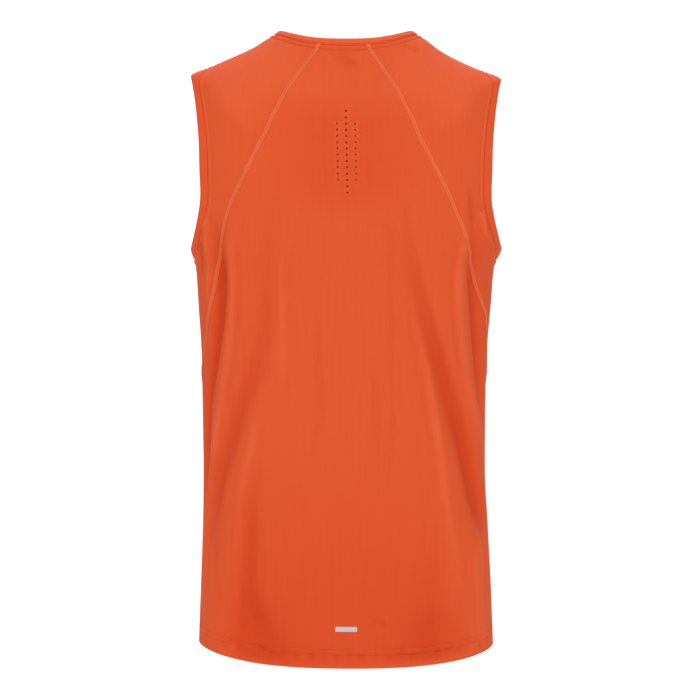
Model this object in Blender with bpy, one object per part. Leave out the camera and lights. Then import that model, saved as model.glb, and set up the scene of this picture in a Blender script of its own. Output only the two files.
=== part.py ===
"""Running singlet, worn by nobody: seven pieces of knitted cloth sewn into one hollow form.

+Z is up, the wearer's front faces -Y and the wearer's left side is +X. The origin is where the
shoulders hold the garment, midway between the two ends of the neck seam. Sizes are in millimetres.

The cloth follows one smooth form. A place on the form has two coordinates:
  around  degrees about the body, 0 at the centre back, 90 at the left side, 180 at the centre front
  level   millimetres down the side outline, from the neck seam over the shoulder to the hem
"""

import math

import bmesh
import bpy
import numpy as np

MM = 0.001  # Blender's metres for one millimetre

CLOTH = 1.5  # wall of a panel
BAND = 2.1  # wall of a folded band
SEAM_GAP = 0.4  # clearance between two pieces where they are sewn

# Sections of the form, from the neck seam down to the hem.
#   left, right: half widths
#   side, back, front: heights at the side, the centre back and the centre front
#   tilt: how far the left side hangs above that height and the right side below it
#   deep_back, deep_front: distances of the centre back and front from the shoulder line
#   flat_back, flat_front: how long a section runs level before it rises to the side, 2 for an even slope
#   square: how far the section is squared off
SECTION_COLUMNS = (
    "left",
    "right",
    "side",
    "tilt",
    "deep_back",
    "back",
    "flat_back",
    "deep_front",
    "front",
    "flat_front",
    "square",
)
SECTIONS = {
    "neck seam": (81.0, 81.0, 0.0, 0.0, 68.0, -19.4, 2.3, 76.0, -82.0, 3.0, 0.0),
    "collar slope": (89.0, 89.5, -4.9, 0.2, 77.0, -33.5, 2.3, 84.0, -94.0, 2.8, 0.0),
    "inner shoulder": (105.6, 105.6, -16.2, 1.2, 89.5, -55.0, 2.3, 96.0, -112.0, 2.5, 0.005),
    "mid shoulder": (124.0, 124.0, -25.6, 2.1, 98.0, -73.0, 2.3, 104.5, -127.0, 2.3, 0.01),
    "outer shoulder": (141.5, 141.5, -33.6, 2.3, 104.0, -88.0, 2.1, 110.5, -139.0, 2.15, 0.015),
    "shoulder end": (159.0, 159.0, -41.2, 2.1, 108.5, -102.0, 2.0, 115.0, -150.0, 2.05, 0.02),
    "shoulder tip": (175.0, 175.0, -49.2, 2.1, 112.0, -117.0, 2.0, 119.0, -162.0, 2.0, 0.025),
    "upper armhole": (178.0, 178.0, -68.0, 1.9, 115.0, -136.0, 2.0, 122.0, -178.0, 2.0, 0.03),
    "blade": (181.0, 181.0, -105.0, 1.4, 117.0, -163.0, 2.0, 125.0, -201.0, 2.0, 0.032),
    "mid armhole": (183.0, 183.0, -146.0, 0.9, 118.0, -194.0, 2.0, 126.5, -222.0, 2.0, 0.032),
    "lower armhole": (181.0, 181.0, -190.0, 0.4, 118.0, -223.0, 2.0, 127.0, -240.0, 2.0, 0.03),
    "underarm": (174.4, 174.8, -241.0, 0.0, 117.0, -255.0, 2.0, 126.7, -259.0, 2.0, 0.03),
    "below band": (170.8, 169.4, -252.5, 0.0, 116.6, -264.0, 2.0, 126.4, -266.0, 2.0, 0.03),
    "chest": (168.8, 166.4, -264.0, 0.0, 116.2, -274.0, 2.0, 126.0, -274.0, 2.0, 0.03),
    "low chest": (166.4, 163.4, -299.0, 0.0, 115.3, -307.0, 2.0, 125.0, -306.0, 2.0, 0.03),
    "midriff": (162.5, 158.4, -362.0, 0.0, 114.0, -369.0, 2.0, 123.0, -367.0, 2.0, 0.03),
    "waist": (161.3, 156.7, -425.0, 0.0, 113.3, -431.0, 2.0, 121.0, -429.0, 2.0, 0.03),
    "low waist": (160.4, 156.4, -489.0, 0.0, 113.3, -496.0, 2.0, 119.7, -493.0, 2.0, 0.03),
    "hip": (161.0, 159.4, -550.0, 0.0, 114.0, -558.0, 2.0, 118.8, -554.0, 2.0, 0.03),
    "seat": (163.4, 163.2, -620.0, 0.8, 115.6, -631.0, 2.2, 118.0, -625.0, 2.1, 0.03),
    "hem": (165.6, 165.6, -684.2, 1.4, 117.0, -698.8, 2.4, 117.5, -690.0, 2.4, 0.03),
}

# The armhole, seen from the side: an oval, widest below its middle. The band lies round it on the form.
ARMHOLE_TOP = -49.0
ARMHOLE_WIDEST = -172.0
ARMHOLE_FOOT = -241.0
ARMHOLE_BACK = 69.0
ARMHOLE_FRONT = 79.0
ARMHOLE_BACK_SQUARE = 0.78  # 1 for a true ellipse, less for a squarer oval
ARMHOLE_FRONT_SQUARE = 1.0
BAND_ABOVE = 9.0
BAND_BELOW = 11.5
BAND_ASIDE = 9.5

# The raglan seams across the back, down to the side seams: level, then degrees around on either side.
RAGLAN_COLUMNS = ("level", "left", "right")
RAGLAN = (
    (0.0, 21.0, 16.7),
    (22.0, 26.2, 22.5),
    (53.0, 27.7, 24.5),
    (102.0, 25.3, 22.8),
    (141.0, 28.5, 25.8),
    (202.0, 35.5, 32.7),
    (235.0, 40.5, 37.1),
    (266.0, 45.7, 41.6),
    (296.0, 51.6, 47.5),
    (320.0, 55.6, 54.0),
    (342.0, 58.8, 59.8),
    (376.0, 64.2, 69.5),
    (398.0, 68.8, 76.0),
    (416.0, 74.5, 81.0),
    (432.0, 81.5, 85.5),
    (450.0, 90.0, 90.0),
)
RAGLAN_END = RAGLAN[-1][0]

# Soft folds of the hanging cloth.
#   top, bottom: heights between which the fold runs
#   at_top, upper, lower, at_bottom: degrees around at both ends and at a third and two thirds of the way
#   half_width: degrees from the fold's line to where a fifth of it is left
#   lift: how far it stands out, or lies in where that is negative
FOLD_COLUMNS = ("top", "bottom", "at_top", "upper", "lower", "at_bottom", "half_width", "lift")
FOLDS = {
    "left blade hollow": (-190.0, -535.0, 43.5, 56.0, 70.0, 83.0, 7.5, -7.0),
    "left blade ridge": (-200.0, -560.0, 38.0, 46.0, 59.0, 77.0, 5.0, 2.4),
    "left drape hollow": (-180.0, -600.0, 24.0, 30.5, 50.5, 66.0, 7.0, -5.5),
    "left drape ridge": (-300.0, -650.0, 22.5, 30.0, 42.0, 44.5, 5.0, 2.4),
    "left hem hollow": (-470.0, -790.0, 36.0, 38.5, 33.0, 27.0, 9.0, -6.0),
    "right blade hollow": (-190.0, -450.0, -43.0, -54.0, -64.0, -78.0, 6.0, -6.5),
    "right blade ridge": (-205.0, -490.0, -40.0, -45.5, -56.5, -75.0, 4.5, 2.4),
    "right drape hollow": (-190.0, -575.0, -17.5, -31.0, -52.0, -82.0, 7.5, -8.0),
    "right drape ridge": (-290.0, -650.0, -22.0, -33.5, -41.5, -49.5, 5.0, 2.6),
    "right hem hollow": (-530.0, -790.0, -37.0, -34.5, -32.0, -29.0, 9.0, -5.5),
    "seat hollow": (-430.0, -800.0, 2.0, 2.0, 1.0, 0.0, 36.0, -3.0),
    "left chest hollow": (-225.0, -540.0, 129.0, 124.0, 114.0, 104.0, 8.0, -4.0),
    "left chest ridge": (-230.0, -620.0, 139.0, 135.0, 126.0, 117.0, 8.0, 2.2),
    "left belly hollow": (-270.0, -650.0, 150.0, 147.0, 141.0, 133.0, 8.5, -2.8),
    "right chest hollow": (-230.0, -520.0, -131.0, -125.0, -115.0, -105.0, 8.0, -4.2),
    "right chest ridge": (-235.0, -600.0, -141.0, -137.0, -128.0, -119.0, 8.0, 2.0),
    "right belly hollow": (-280.0, -660.0, -153.0, -150.0, -144.0, -136.0, 9.0, -2.6),
}
FOLD_LINE = ("at_top", "upper", "lower", "at_bottom")
FOLD_RUN_IN = 0.35  # share of a fold's length in which it deepens, and again dies away

# The neckband's upper edge: half width and height at the side, then as in the sections.
COLLAR_EDGE = {
    "wide": 74.8,
    "side": 4.8,
    "deep_back": 62.0,
    "back": -11.7,
    "flat_back": 2.5,
    "deep_front": 68.5,
    "front": -74.0,
    "flat_front": 3.0,
}
COLLAR_RISE = 0.5  # share of the band's width in which it follows the slope of the panels

# How many faces run along each stretch of cloth.
RIDGE_ROWS = 3
ARMHOLE_ROWS = 18
SIDE_ROWS = 4
LOWER_ROWS = 11
BACK_COLUMNS = 36
FRONT_COLUMNS = 32
SHOULDER_COLUMNS = 10
NECKBAND_STEPS = 72
NECKBAND_ROWS = 4
BAND_ROWS = 2
RIDGE_SLANT = 0.45  # level of the rows' middle beside the shoulder end, as a share of that level
UNDERARM_SLANT = 0.6  # the same below the armhole, as a share of the way down to the raglan's end
RAGLAN_TIP = 4.0  # length cut off the point of a shoulder panel, to leave it a blunt end
FRONT_BOW = 4.0  # how sharply the rows of the front bend up or down towards the armhole's corners
SHOULDER_BOW = 2.0
EDGE_ANGLE = 40.0  # degrees above which an edge is shaded sharp

# Colour, as linear red, green and blue, and roughness of each piece.
FINISHES = {
    "back_panel": ((0.76, 0.105, 0.028), 0.62),
    "front_panel": ((0.74, 0.100, 0.027), 0.62),
    "shoulder_panel_left": ((0.70, 0.093, 0.026), 0.62),
    "shoulder_panel_right": ((0.70, 0.093, 0.026), 0.62),
    "neckband": ((0.80, 0.120, 0.035), 0.70),
    "armhole_band_left": ((0.72, 0.095, 0.026), 0.70),
    "armhole_band_right": ((0.72, 0.095, 0.026), 0.70),
}


class Curve:
    """A smooth curve through a short table of values, with no bumps between them."""

    def __init__(self, knots, values):
        self.knots = np.asarray(knots, float)
        self.values = np.asarray(values, float)
        steps = np.diff(self.knots)
        rises = np.diff(self.values) / steps
        self.slopes = np.concatenate([rises[:1], np.zeros(len(rises) - 1), rises[-1:]])
        for i in range(1, len(rises)):
            if rises[i - 1] * rises[i] > 0:
                before = 2 * steps[i] + steps[i - 1]
                after = steps[i] + 2 * steps[i - 1]
                self.slopes[i] = (before + after) / (before / rises[i - 1] + after / rises[i])

    def __call__(self, at):
        i = np.clip(np.searchsorted(self.knots, at, side="right") - 1, 0, len(self.knots) - 2)
        step = self.knots[i + 1] - self.knots[i]
        share = (at - self.knots[i]) / step
        rise = share * share * (3 - 2 * share)
        start = share * (1 - share) ** 2 * step * self.slopes[i]
        end = share**2 * (share - 1) * step * self.slopes[i + 1]
        return self.values[i] * (1 - rise) + self.values[i + 1] * rise + start + end


def section_curves():
    """A curve down the side outline for each column of the sections, and each section's level."""
    column = {name: [row[i] for row in SECTIONS.values()] for i, name in enumerate(SECTION_COLUMNS)}
    half_widths = (np.array(column["left"]) + np.array(column["right"])) / 2
    steps = np.hypot(np.diff(half_widths), np.diff(column["side"]))
    levels = np.concatenate([[0.0], np.cumsum(steps)])
    curves = {name: Curve(levels, values) for name, values in column.items()}
    return curves, dict(zip(SECTIONS, levels))


SECTION, LEVELS = section_curves()
RAGLAN_CURVES = {
    side: Curve([row[0] for row in RAGLAN], [row[RAGLAN_COLUMNS.index(side)] for row in RAGLAN])
    for side in ("left", "right")
}


def smooth(share):
    """0 to 1, level at both ends."""
    share = np.clip(share, 0.0, 1.0)
    return share * share * (3 - 2 * share)


def unit(vectors):
    """Vectors of length one."""
    return vectors / np.linalg.norm(vectors, axis=-1, keepdims=True)


def form_points(around, level):
    """Points of the form without its folds."""
    angle = np.radians(around)
    sine, cosine = np.sin(angle), np.cos(angle)
    square = SECTION["square"](level)
    wide = np.where(sine >= 0, SECTION["left"](level), SECTION["right"](level))
    deep = np.where(cosine >= 0, SECTION["deep_back"](level), SECTION["deep_front"](level))
    centre = np.where(cosine >= 0, SECTION["back"](level), SECTION["front"](level))
    flat = np.where(cosine >= 0, SECTION["flat_back"](level), SECTION["flat_front"](level))
    x = wide * (sine + square * np.sin(3 * angle)) / (1 - square)
    y = deep * (cosine - square * np.cos(3 * angle)) / (1 - square)
    side = SECTION["side"](level)
    z = side + (centre - side) * (1 - np.abs(sine) ** flat) + SECTION["tilt"](level) * sine
    return np.stack([x, y, z], axis=-1)


def fold_lift(around, height):
    """How far the folds move the cloth out from the form."""
    around = (around + 180.0) % 360.0 - 180.0
    lift = np.zeros(np.shape(around))
    for row in FOLDS.values():
        fold = dict(zip(FOLD_COLUMNS, row))
        share = np.clip((fold["top"] - height) / (fold["top"] - fold["bottom"]), 0.0, 1.0)
        line = Curve(np.linspace(0.0, 1.0, len(FOLD_LINE)), [fold[place] for place in FOLD_LINE])
        aside = (around - line(share)) / fold["half_width"]
        along = smooth(share / FOLD_RUN_IN) * smooth((1 - share) / FOLD_RUN_IN)
        lift += fold["lift"] * along * 0.2 ** (aside**2)
    return lift


def cloth_points(places):
    """Points in the middle of the cloth, folds included, for an array of (around, level)."""
    around, level = places[..., 0], places[..., 1]
    points = form_points(around, level)
    across = form_points(around + 0.5, level) - form_points(around - 0.5, level)
    down = form_points(around, level + 0.5) - form_points(around, level - 0.5)
    outward = unit(np.cross(across, down))
    return points + outward * fold_lift(around, points[..., 2])[..., None]


def cloth_normals(places):
    """The cloth's outward directions, folds included."""
    across = cloth_points(places + [0.5, 0.0]) - cloth_points(places - [0.5, 0.0])
    down = cloth_points(places + [0.0, 0.5]) - cloth_points(places - [0.0, 0.5])
    return unit(np.cross(across, down))


def armhole_line(side, to_back, margin):
    """Places along half of the oval about an armhole, from its top by the back or the front to its foot.

    margin is 0 for the edge of the opening and 1 for the seam of the band. The oval is drawn in side view,
    and Newton's method finds the place on the form that lies at each of its points.
    """
    sign = 1 if side == "left" else -1
    reach = ARMHOLE_BACK + margin * BAND_ASIDE if to_back else -ARMHOLE_FRONT - margin * BAND_ASIDE
    square = ARMHOLE_BACK_SQUARE if to_back else ARMHOLE_FRONT_SQUARE
    top = ARMHOLE_TOP + margin * BAND_ABOVE + sign * SECTION["tilt"](LEVELS["shoulder tip"])
    foot = ARMHOLE_FOOT - margin * BAND_BELOW
    place = np.array([sign * 90.0, LEVELS["shoulder tip"]])
    line = []
    for turn in np.linspace(0.0, math.pi, ARMHOLE_ROWS + 1):
        half_height = top - ARMHOLE_WIDEST if turn < math.pi / 2 else ARMHOLE_WIDEST - foot
        aside = reach * abs(math.sin(turn)) ** square
        wanted = np.array([aside, ARMHOLE_WIDEST + half_height * math.cos(turn)])
        for _ in range(40):
            here = form_points(*place)[1:]
            by_around = (form_points(place[0] + 0.01, place[1])[1:] - here) / 0.01
            by_level = (form_points(place[0], place[1] + 0.01)[1:] - here) / 0.01
            step = np.linalg.solve(np.array([by_around, by_level]).T, wanted - here)
            place = place + np.clip(step, -6.0, 6.0)
        line.append(place)
    line[0][0] = line[-1][0] = sign * 90.0
    return line


def side_line(side, levels):
    """Places along the shoulder ridge or the side seam."""
    sign = 1 if side == "left" else -1
    return [np.array([sign * 90.0, level]) for level in levels]


def outer_line(side, to_back):
    """Places down a panel's outer edge: the ridge, the armhole seam and the side seam to the raglan's end."""
    armhole = armhole_line(side, to_back, 1)
    ridge = side_line(side, np.linspace(0.0, armhole[0][1], RIDGE_ROWS + 1)[:-1])
    seam = side_line(side, np.linspace(armhole[-1][1], RAGLAN_END, SIDE_ROWS + 1)[1:])
    return np.array(ridge + armhole + seam)


def inner_levels():
    """Levels of the rows' middles, slanted so that rows leave the armhole's corners at an angle."""
    armhole = armhole_line("left", True, 1)
    upper = RIDGE_SLANT * armhole[0][1]
    end = RAGLAN_END
    lower = armhole[-1][1] + UNDERARM_SLANT * (end - armhole[-1][1])
    ridge = np.linspace(0.0, upper, RIDGE_ROWS + 1)
    seam = np.linspace(lower, end, SIDE_ROWS + 1)
    return np.concatenate([ridge[:-1], np.linspace(upper, lower, ARMHOLE_ROWS + 1), seam[1:]])


def raglan_line(side):
    """Places along a raglan seam, which ends on the side seam."""
    sign = 1 if side == "left" else -1
    levels = inner_levels()
    return np.stack([sign * RAGLAN_CURVES[side](levels), levels], axis=-1)


def rows_between(inner, outer, columns, bow=1.0):
    """A grid of places, row by row from one edge to the other. A bow bends the rows near the outer edge."""
    share = np.linspace(0.0, 1.0, columns + 1)[None, :, None]
    share = np.concatenate([share, share**bow], axis=-1)
    return inner[:, None] * (1 - share) + outer[:, None] * share


def lower_rows(first_around, last_around, columns):
    """The grid below the raglan's end, from side seam to side seam down to the hem."""
    levels = np.linspace(RAGLAN_END, LEVELS["hem"], LOWER_ROWS + 1)[1:]
    first = np.stack([np.full(LOWER_ROWS, first_around), levels], axis=-1)
    last = np.stack([np.full(LOWER_ROWS, last_around), levels], axis=-1)
    return rows_between(first, last, columns)


def back_places():
    """The back panel: between the raglan seams, then between the side seams."""
    upper = rows_between(raglan_line("right"), raglan_line("left"), BACK_COLUMNS)
    return np.concatenate([upper, lower_rows(-90.0, 90.0, BACK_COLUMNS)])


def front_places():
    """The front panel, from the left side round to the right."""
    levels = inner_levels()
    centre = np.stack([np.full(len(levels), 180.0), levels], axis=-1)
    left = rows_between(centre, outer_line("left", False), FRONT_COLUMNS // 2, FRONT_BOW)
    right = rows_between(centre, outer_line("right", False) + [360.0, 0.0], FRONT_COLUMNS // 2, FRONT_BOW)
    upper = np.concatenate([left[:, ::-1], right[:, 1:]], axis=1)
    return np.concatenate([upper, lower_rows(90.0, 270.0, FRONT_COLUMNS)])


def shoulder_places(side):
    """A shoulder panel: from the raglan seam to the ridge, the armhole and the side seam."""
    inner, outer = raglan_line(side), outer_line(side, True)
    for line in (inner, outer):
        last_step = line[-1] - line[-2]
        line[-1] -= last_step * RAGLAN_TIP / last_step[1]
    return rows_between(inner, outer, SHOULDER_COLUMNS, SHOULDER_BOW)


def armhole_band_places(side):
    """An armhole band, from its seam to the edge of the opening, all the way round."""
    seam, edge = (
        np.array(armhole_line(side, True, margin)[:-1] + armhole_line(side, False, margin)[:0:-1])
        for margin in (1, 0)
    )
    return rows_between(seam, edge, BAND_ROWS)


def neckband_points(share):
    """Points across the neckband: out of the neck seam along the panels' slope, then up to its own edge."""
    around = np.arange(NECKBAND_STEPS) * 360.0 / NECKBAND_STEPS
    angle = np.radians(around)
    sine, cosine = np.sin(angle), np.cos(angle)
    edge = COLLAR_EDGE
    deep = np.where(cosine >= 0, edge["deep_back"], edge["deep_front"])
    centre = np.where(cosine >= 0, edge["back"], edge["front"])
    rise = np.abs(sine) ** np.where(cosine >= 0, edge["flat_back"], edge["flat_front"])
    height = centre + (edge["side"] - centre) * rise
    top = np.stack([edge["wide"] * sine, deep * cosine, height], axis=-1)
    seam = form_points(around, 0.0)
    width = np.linalg.norm(top - seam, axis=-1, keepdims=True)
    bend = seam + unit(seam - form_points(around, 4.0)) * width * COLLAR_RISE
    return seam * (1 - share) ** 2 + 2 * bend * share * (1 - share) + top * share**2


def neckband_grid():
    """The neckband's middle points, from seam to edge, and their outward directions."""
    shares = np.linspace(0.0, 1.0, NECKBAND_ROWS + 1)
    points = np.stack([neckband_points(share) for share in shares], axis=1)
    around = np.roll(points, -1, axis=0) - np.roll(points, 1, axis=0)
    rises = [neckband_points(share - 0.01) - neckband_points(share + 0.01) for share in shares]
    down = np.stack(rises, axis=1)
    return points, unit(np.cross(around, down))


def draw_back(edge, inner, closed):
    """Moves a line of edge points square to the edge, half a seam gap towards their inner neighbours."""
    if closed:
        after = unit(np.roll(edge, -1, axis=0) - edge)
        before = np.roll(after, 1, axis=0)
    else:
        runs = unit(np.diff(edge, axis=0))
        before = np.concatenate([runs[:1], runs])
        after = np.concatenate([runs, runs[-1:]])
    along = before + after  # of length 2 on a straight stretch, shorter at a corner
    length = np.linalg.norm(along, axis=1, keepdims=True)
    inward = inner - edge
    inward -= along * np.sum(inward * along, axis=1, keepdims=True) / length**2
    edge += unit(inward) * SEAM_GAP / length


def cloth_piece(name, middle, outward, thickness, closed=False):
    """A wall of cloth about a grid of middle points. A closed grid joins its last row to its first."""
    draw_back(middle[:, 0], middle[:, 1].copy(), closed)
    draw_back(middle[:, -1], middle[:, -2].copy(), closed)
    if not closed:
        draw_back(middle[0], middle[1].copy(), False)
        draw_back(middle[-1], middle[-2].copy(), False)
    rows, columns = middle.shape[:2]
    half_wall = outward * thickness / 2
    outer = np.arange(rows * columns).reshape(rows, columns)
    inner = outer + rows * columns
    if closed:
        outer, inner = (np.concatenate([side, side[:1]]) for side in (outer, inner))
    faces = quads(outer) + quads(inner[::-1])
    faces += quads(np.stack([inner[:, 0], outer[:, 0]], axis=1))
    faces += quads(np.stack([outer[:, -1], inner[:, -1]], axis=1))
    if not closed:
        faces += quads(np.stack([inner[0], outer[0]]))
        faces += quads(np.stack([outer[-1], inner[-1]]))
    points = np.concatenate([middle + half_wall, middle - half_wall]).reshape(-1, 3) * MM
    mesh = bpy.data.meshes.new(name)
    mesh.from_pydata([tuple(point) for point in points], [], faces)
    shell = bmesh.new()
    shell.from_mesh(mesh)
    bmesh.ops.recalc_face_normals(shell, faces=shell.faces)
    shell.to_mesh(mesh)
    shell.free()
    mesh.shade_smooth()
    mesh.set_sharp_from_angle(angle=math.radians(EDGE_ANGLE))
    mesh.materials.append(finish(name))
    piece = bpy.data.objects.new(name, mesh)
    bpy.context.scene.collection.objects.link(piece)


def quads(grid):
    """Faces over a grid of point numbers."""
    corners = (grid[:-1, :-1], grid[1:, :-1], grid[1:, 1:], grid[:-1, 1:])
    return [tuple(int(corner) for corner in face) for face in np.stack(corners, axis=-1).reshape(-1, 4)]


def finish(name):
    """The dyed polyester knit of one piece."""
    colour, roughness = FINISHES[name]
    material = bpy.data.materials.new(name)
    material.use_nodes = True
    shader = material.node_tree.nodes["Principled BSDF"]
    shader.inputs["Base Color"].default_value = (*colour, 1.0)
    shader.inputs["Roughness"].default_value = roughness
    shader.inputs["Metallic"].default_value = 0.0
    return material


def main():
    """Clears the scene and sews the singlet."""
    for obj in list(bpy.data.objects):
        bpy.data.objects.remove(obj)
    panels = {"back_panel": back_places(), "front_panel": front_places()}
    for side in ("left", "right"):
        panels["shoulder_panel_" + side] = shoulder_places(side)
        band = armhole_band_places(side)
        cloth_piece("armhole_band_" + side, cloth_points(band), cloth_normals(band), BAND, closed=True)
    for name, places in panels.items():
        cloth_piece(name, cloth_points(places), cloth_normals(places), CLOTH)
    cloth_piece("neckband", *neckband_grid(), BAND, closed=True)


main()
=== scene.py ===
# Running singlet in bright orange jersey: the cloth, bands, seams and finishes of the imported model.
# +Z is up, the wearer's back faces +Y and the wearer's left side is +X. Shapes are worked out in
# millimetres and built in metres.
import math

import bpy
import numpy as np
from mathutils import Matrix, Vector


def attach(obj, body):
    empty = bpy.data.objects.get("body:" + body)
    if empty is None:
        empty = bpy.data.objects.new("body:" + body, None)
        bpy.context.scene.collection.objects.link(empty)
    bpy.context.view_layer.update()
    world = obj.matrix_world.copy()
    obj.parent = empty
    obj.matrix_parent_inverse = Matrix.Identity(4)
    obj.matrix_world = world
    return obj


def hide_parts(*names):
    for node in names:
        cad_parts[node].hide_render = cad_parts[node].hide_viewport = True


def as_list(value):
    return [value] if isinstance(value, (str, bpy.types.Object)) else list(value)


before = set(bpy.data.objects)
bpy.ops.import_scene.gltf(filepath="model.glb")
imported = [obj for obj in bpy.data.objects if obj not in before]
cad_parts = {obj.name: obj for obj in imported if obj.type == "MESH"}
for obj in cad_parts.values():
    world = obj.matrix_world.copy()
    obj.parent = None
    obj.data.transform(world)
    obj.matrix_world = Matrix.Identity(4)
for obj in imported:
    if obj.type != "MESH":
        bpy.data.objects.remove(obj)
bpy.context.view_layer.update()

mm = 0.001
sides = ("left", "right")

# The form that the cloth follows: degrees around, 0 at the centre back and 90 at the left side, and the level in
# millimetres down the side outline from the neck seam to the hem. left and right are half widths, the deep ones
# half depths. side, back and front are heights, and tilt lifts the left side and lowers the right. Where flat is
# more, the height of the back or front is kept further round. square draws the section out to its corners.
form = {
    "columns": (
        "left", "right", "side", "tilt", "deepBack", "back", "flatBack", "deepFront", "front", "flatFront",
        "square",
    ),
    "sections": {
        "neckSeam": (81.0, 81.0, 0.0, 0.0, 68.0, -19.4, 2.3, 76.0, -82.0, 3.0, 0.0),
        "collarSlope": (89.0, 89.5, -4.9, 0.2, 77.0, -33.5, 2.3, 84.0, -94.0, 2.8, 0.0),
        "innerShoulder": (105.6, 105.6, -16.2, 1.2, 89.5, -55.0, 2.3, 96.0, -112.0, 2.5, 0.005),
        "midShoulder": (124.0, 124.0, -25.6, 2.1, 98.0, -73.0, 2.3, 104.5, -127.0, 2.3, 0.01),
        "outerShoulder": (141.5, 141.5, -33.6, 2.3, 104.0, -88.0, 2.1, 110.5, -139.0, 2.15, 0.015),
        "shoulderEnd": (159.0, 159.0, -41.2, 2.1, 108.5, -102.0, 2.0, 115.0, -150.0, 2.05, 0.02),
        "shoulderTip": (175.0, 175.0, -49.2, 2.1, 112.0, -117.0, 2.0, 119.0, -162.0, 2.0, 0.025),
        "upperArmhole": (178.0, 178.0, -68.0, 1.9, 115.0, -136.0, 2.0, 122.0, -178.0, 2.0, 0.03),
        "blade": (181.0, 181.0, -105.0, 1.4, 117.0, -163.0, 2.0, 125.0, -201.0, 2.0, 0.032),
        "midArmhole": (183.0, 183.0, -146.0, 0.9, 118.0, -194.0, 2.0, 126.5, -222.0, 2.0, 0.032),
        "lowerArmhole": (181.0, 181.0, -190.0, 0.4, 118.0, -223.0, 2.0, 127.0, -240.0, 2.0, 0.03),
        "underarm": (174.4, 174.8, -241.0, 0.0, 117.0, -255.0, 2.0, 126.7, -259.0, 2.0, 0.03),
        "belowBand": (170.8, 169.4, -252.5, 0.0, 116.6, -264.0, 2.0, 126.4, -266.0, 2.0, 0.03),
        "chest": (168.8, 166.4, -264.0, 0.0, 116.2, -274.0, 2.0, 126.0, -274.0, 2.0, 0.03),
        "lowChest": (166.4, 163.4, -299.0, 0.0, 115.3, -307.0, 2.0, 125.0, -306.0, 2.0, 0.03),
        "midriff": (162.5, 158.4, -362.0, 0.0, 114.0, -369.0, 2.0, 123.0, -367.0, 2.0, 0.03),
        "waist": (161.3, 156.7, -425.0, 0.0, 113.3, -431.0, 2.0, 121.0, -429.0, 2.0, 0.03),
        "lowWaist": (160.4, 156.4, -489.0, 0.0, 113.3, -496.0, 2.0, 119.7, -493.0, 2.0, 0.03),
        "hip": (161.0, 159.4, -550.0, 0.0, 114.0, -558.0, 2.0, 118.8, -554.0, 2.0, 0.03),
        "seat": (163.4, 163.2, -620.0, 0.8, 115.6, -631.0, 2.2, 118.0, -625.0, 2.1, 0.03),
        "hem": (165.6, 165.6, -684.2, 1.4, 117.0, -698.8, 2.4, 117.5, -690.0, 2.4, 0.03),
    },
}

armhole = {
    "top": -49.0, "widest": -172.0, "foot": -241.0,  # heights of the opening's edge
    "back": 69.0, "front": 79.0,  # its reach from the shoulder line
    "backSquare": 0.78, "frontSquare": 1.0,  # 1 for a true ellipse, less for a squarer oval
    "bandAbove": 9.0, "bandBelow": 11.5, "bandAside": 9.5,
    "seamSteps": 96, "panelSteps": 80, "bandSteps": 110,  # steps down half an oval for each use
}

# level, then degrees around on either side
raglan = {
    "columns": ("level", "left", "right"),
    "rows": (
        (0.0, 21.1, 16.8), (22.0, 26.2, 22.5), (53.0, 27.6, 24.4), (102.0, 25.3, 22.8), (141.0, 28.5, 25.9),
        (202.0, 35.5, 32.8), (235.0, 40.4, 37.1), (266.0, 44.3, 41.3), (282.0, 46.7, 43.4), (296.0, 49.7, 46.0),
        (306.0, 52.3, 49.5), (320.0, 55.5, 54.4), (342.0, 58.2, 59.4), (360.0, 61.2, 64.4), (376.0, 64.2, 70.5),
        (398.0, 68.4, 76.0), (416.0, 73.0, 80.5), (432.0, 80.0, 85.0), (450.0, 90.0, 90.0),
    ),
}

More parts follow.
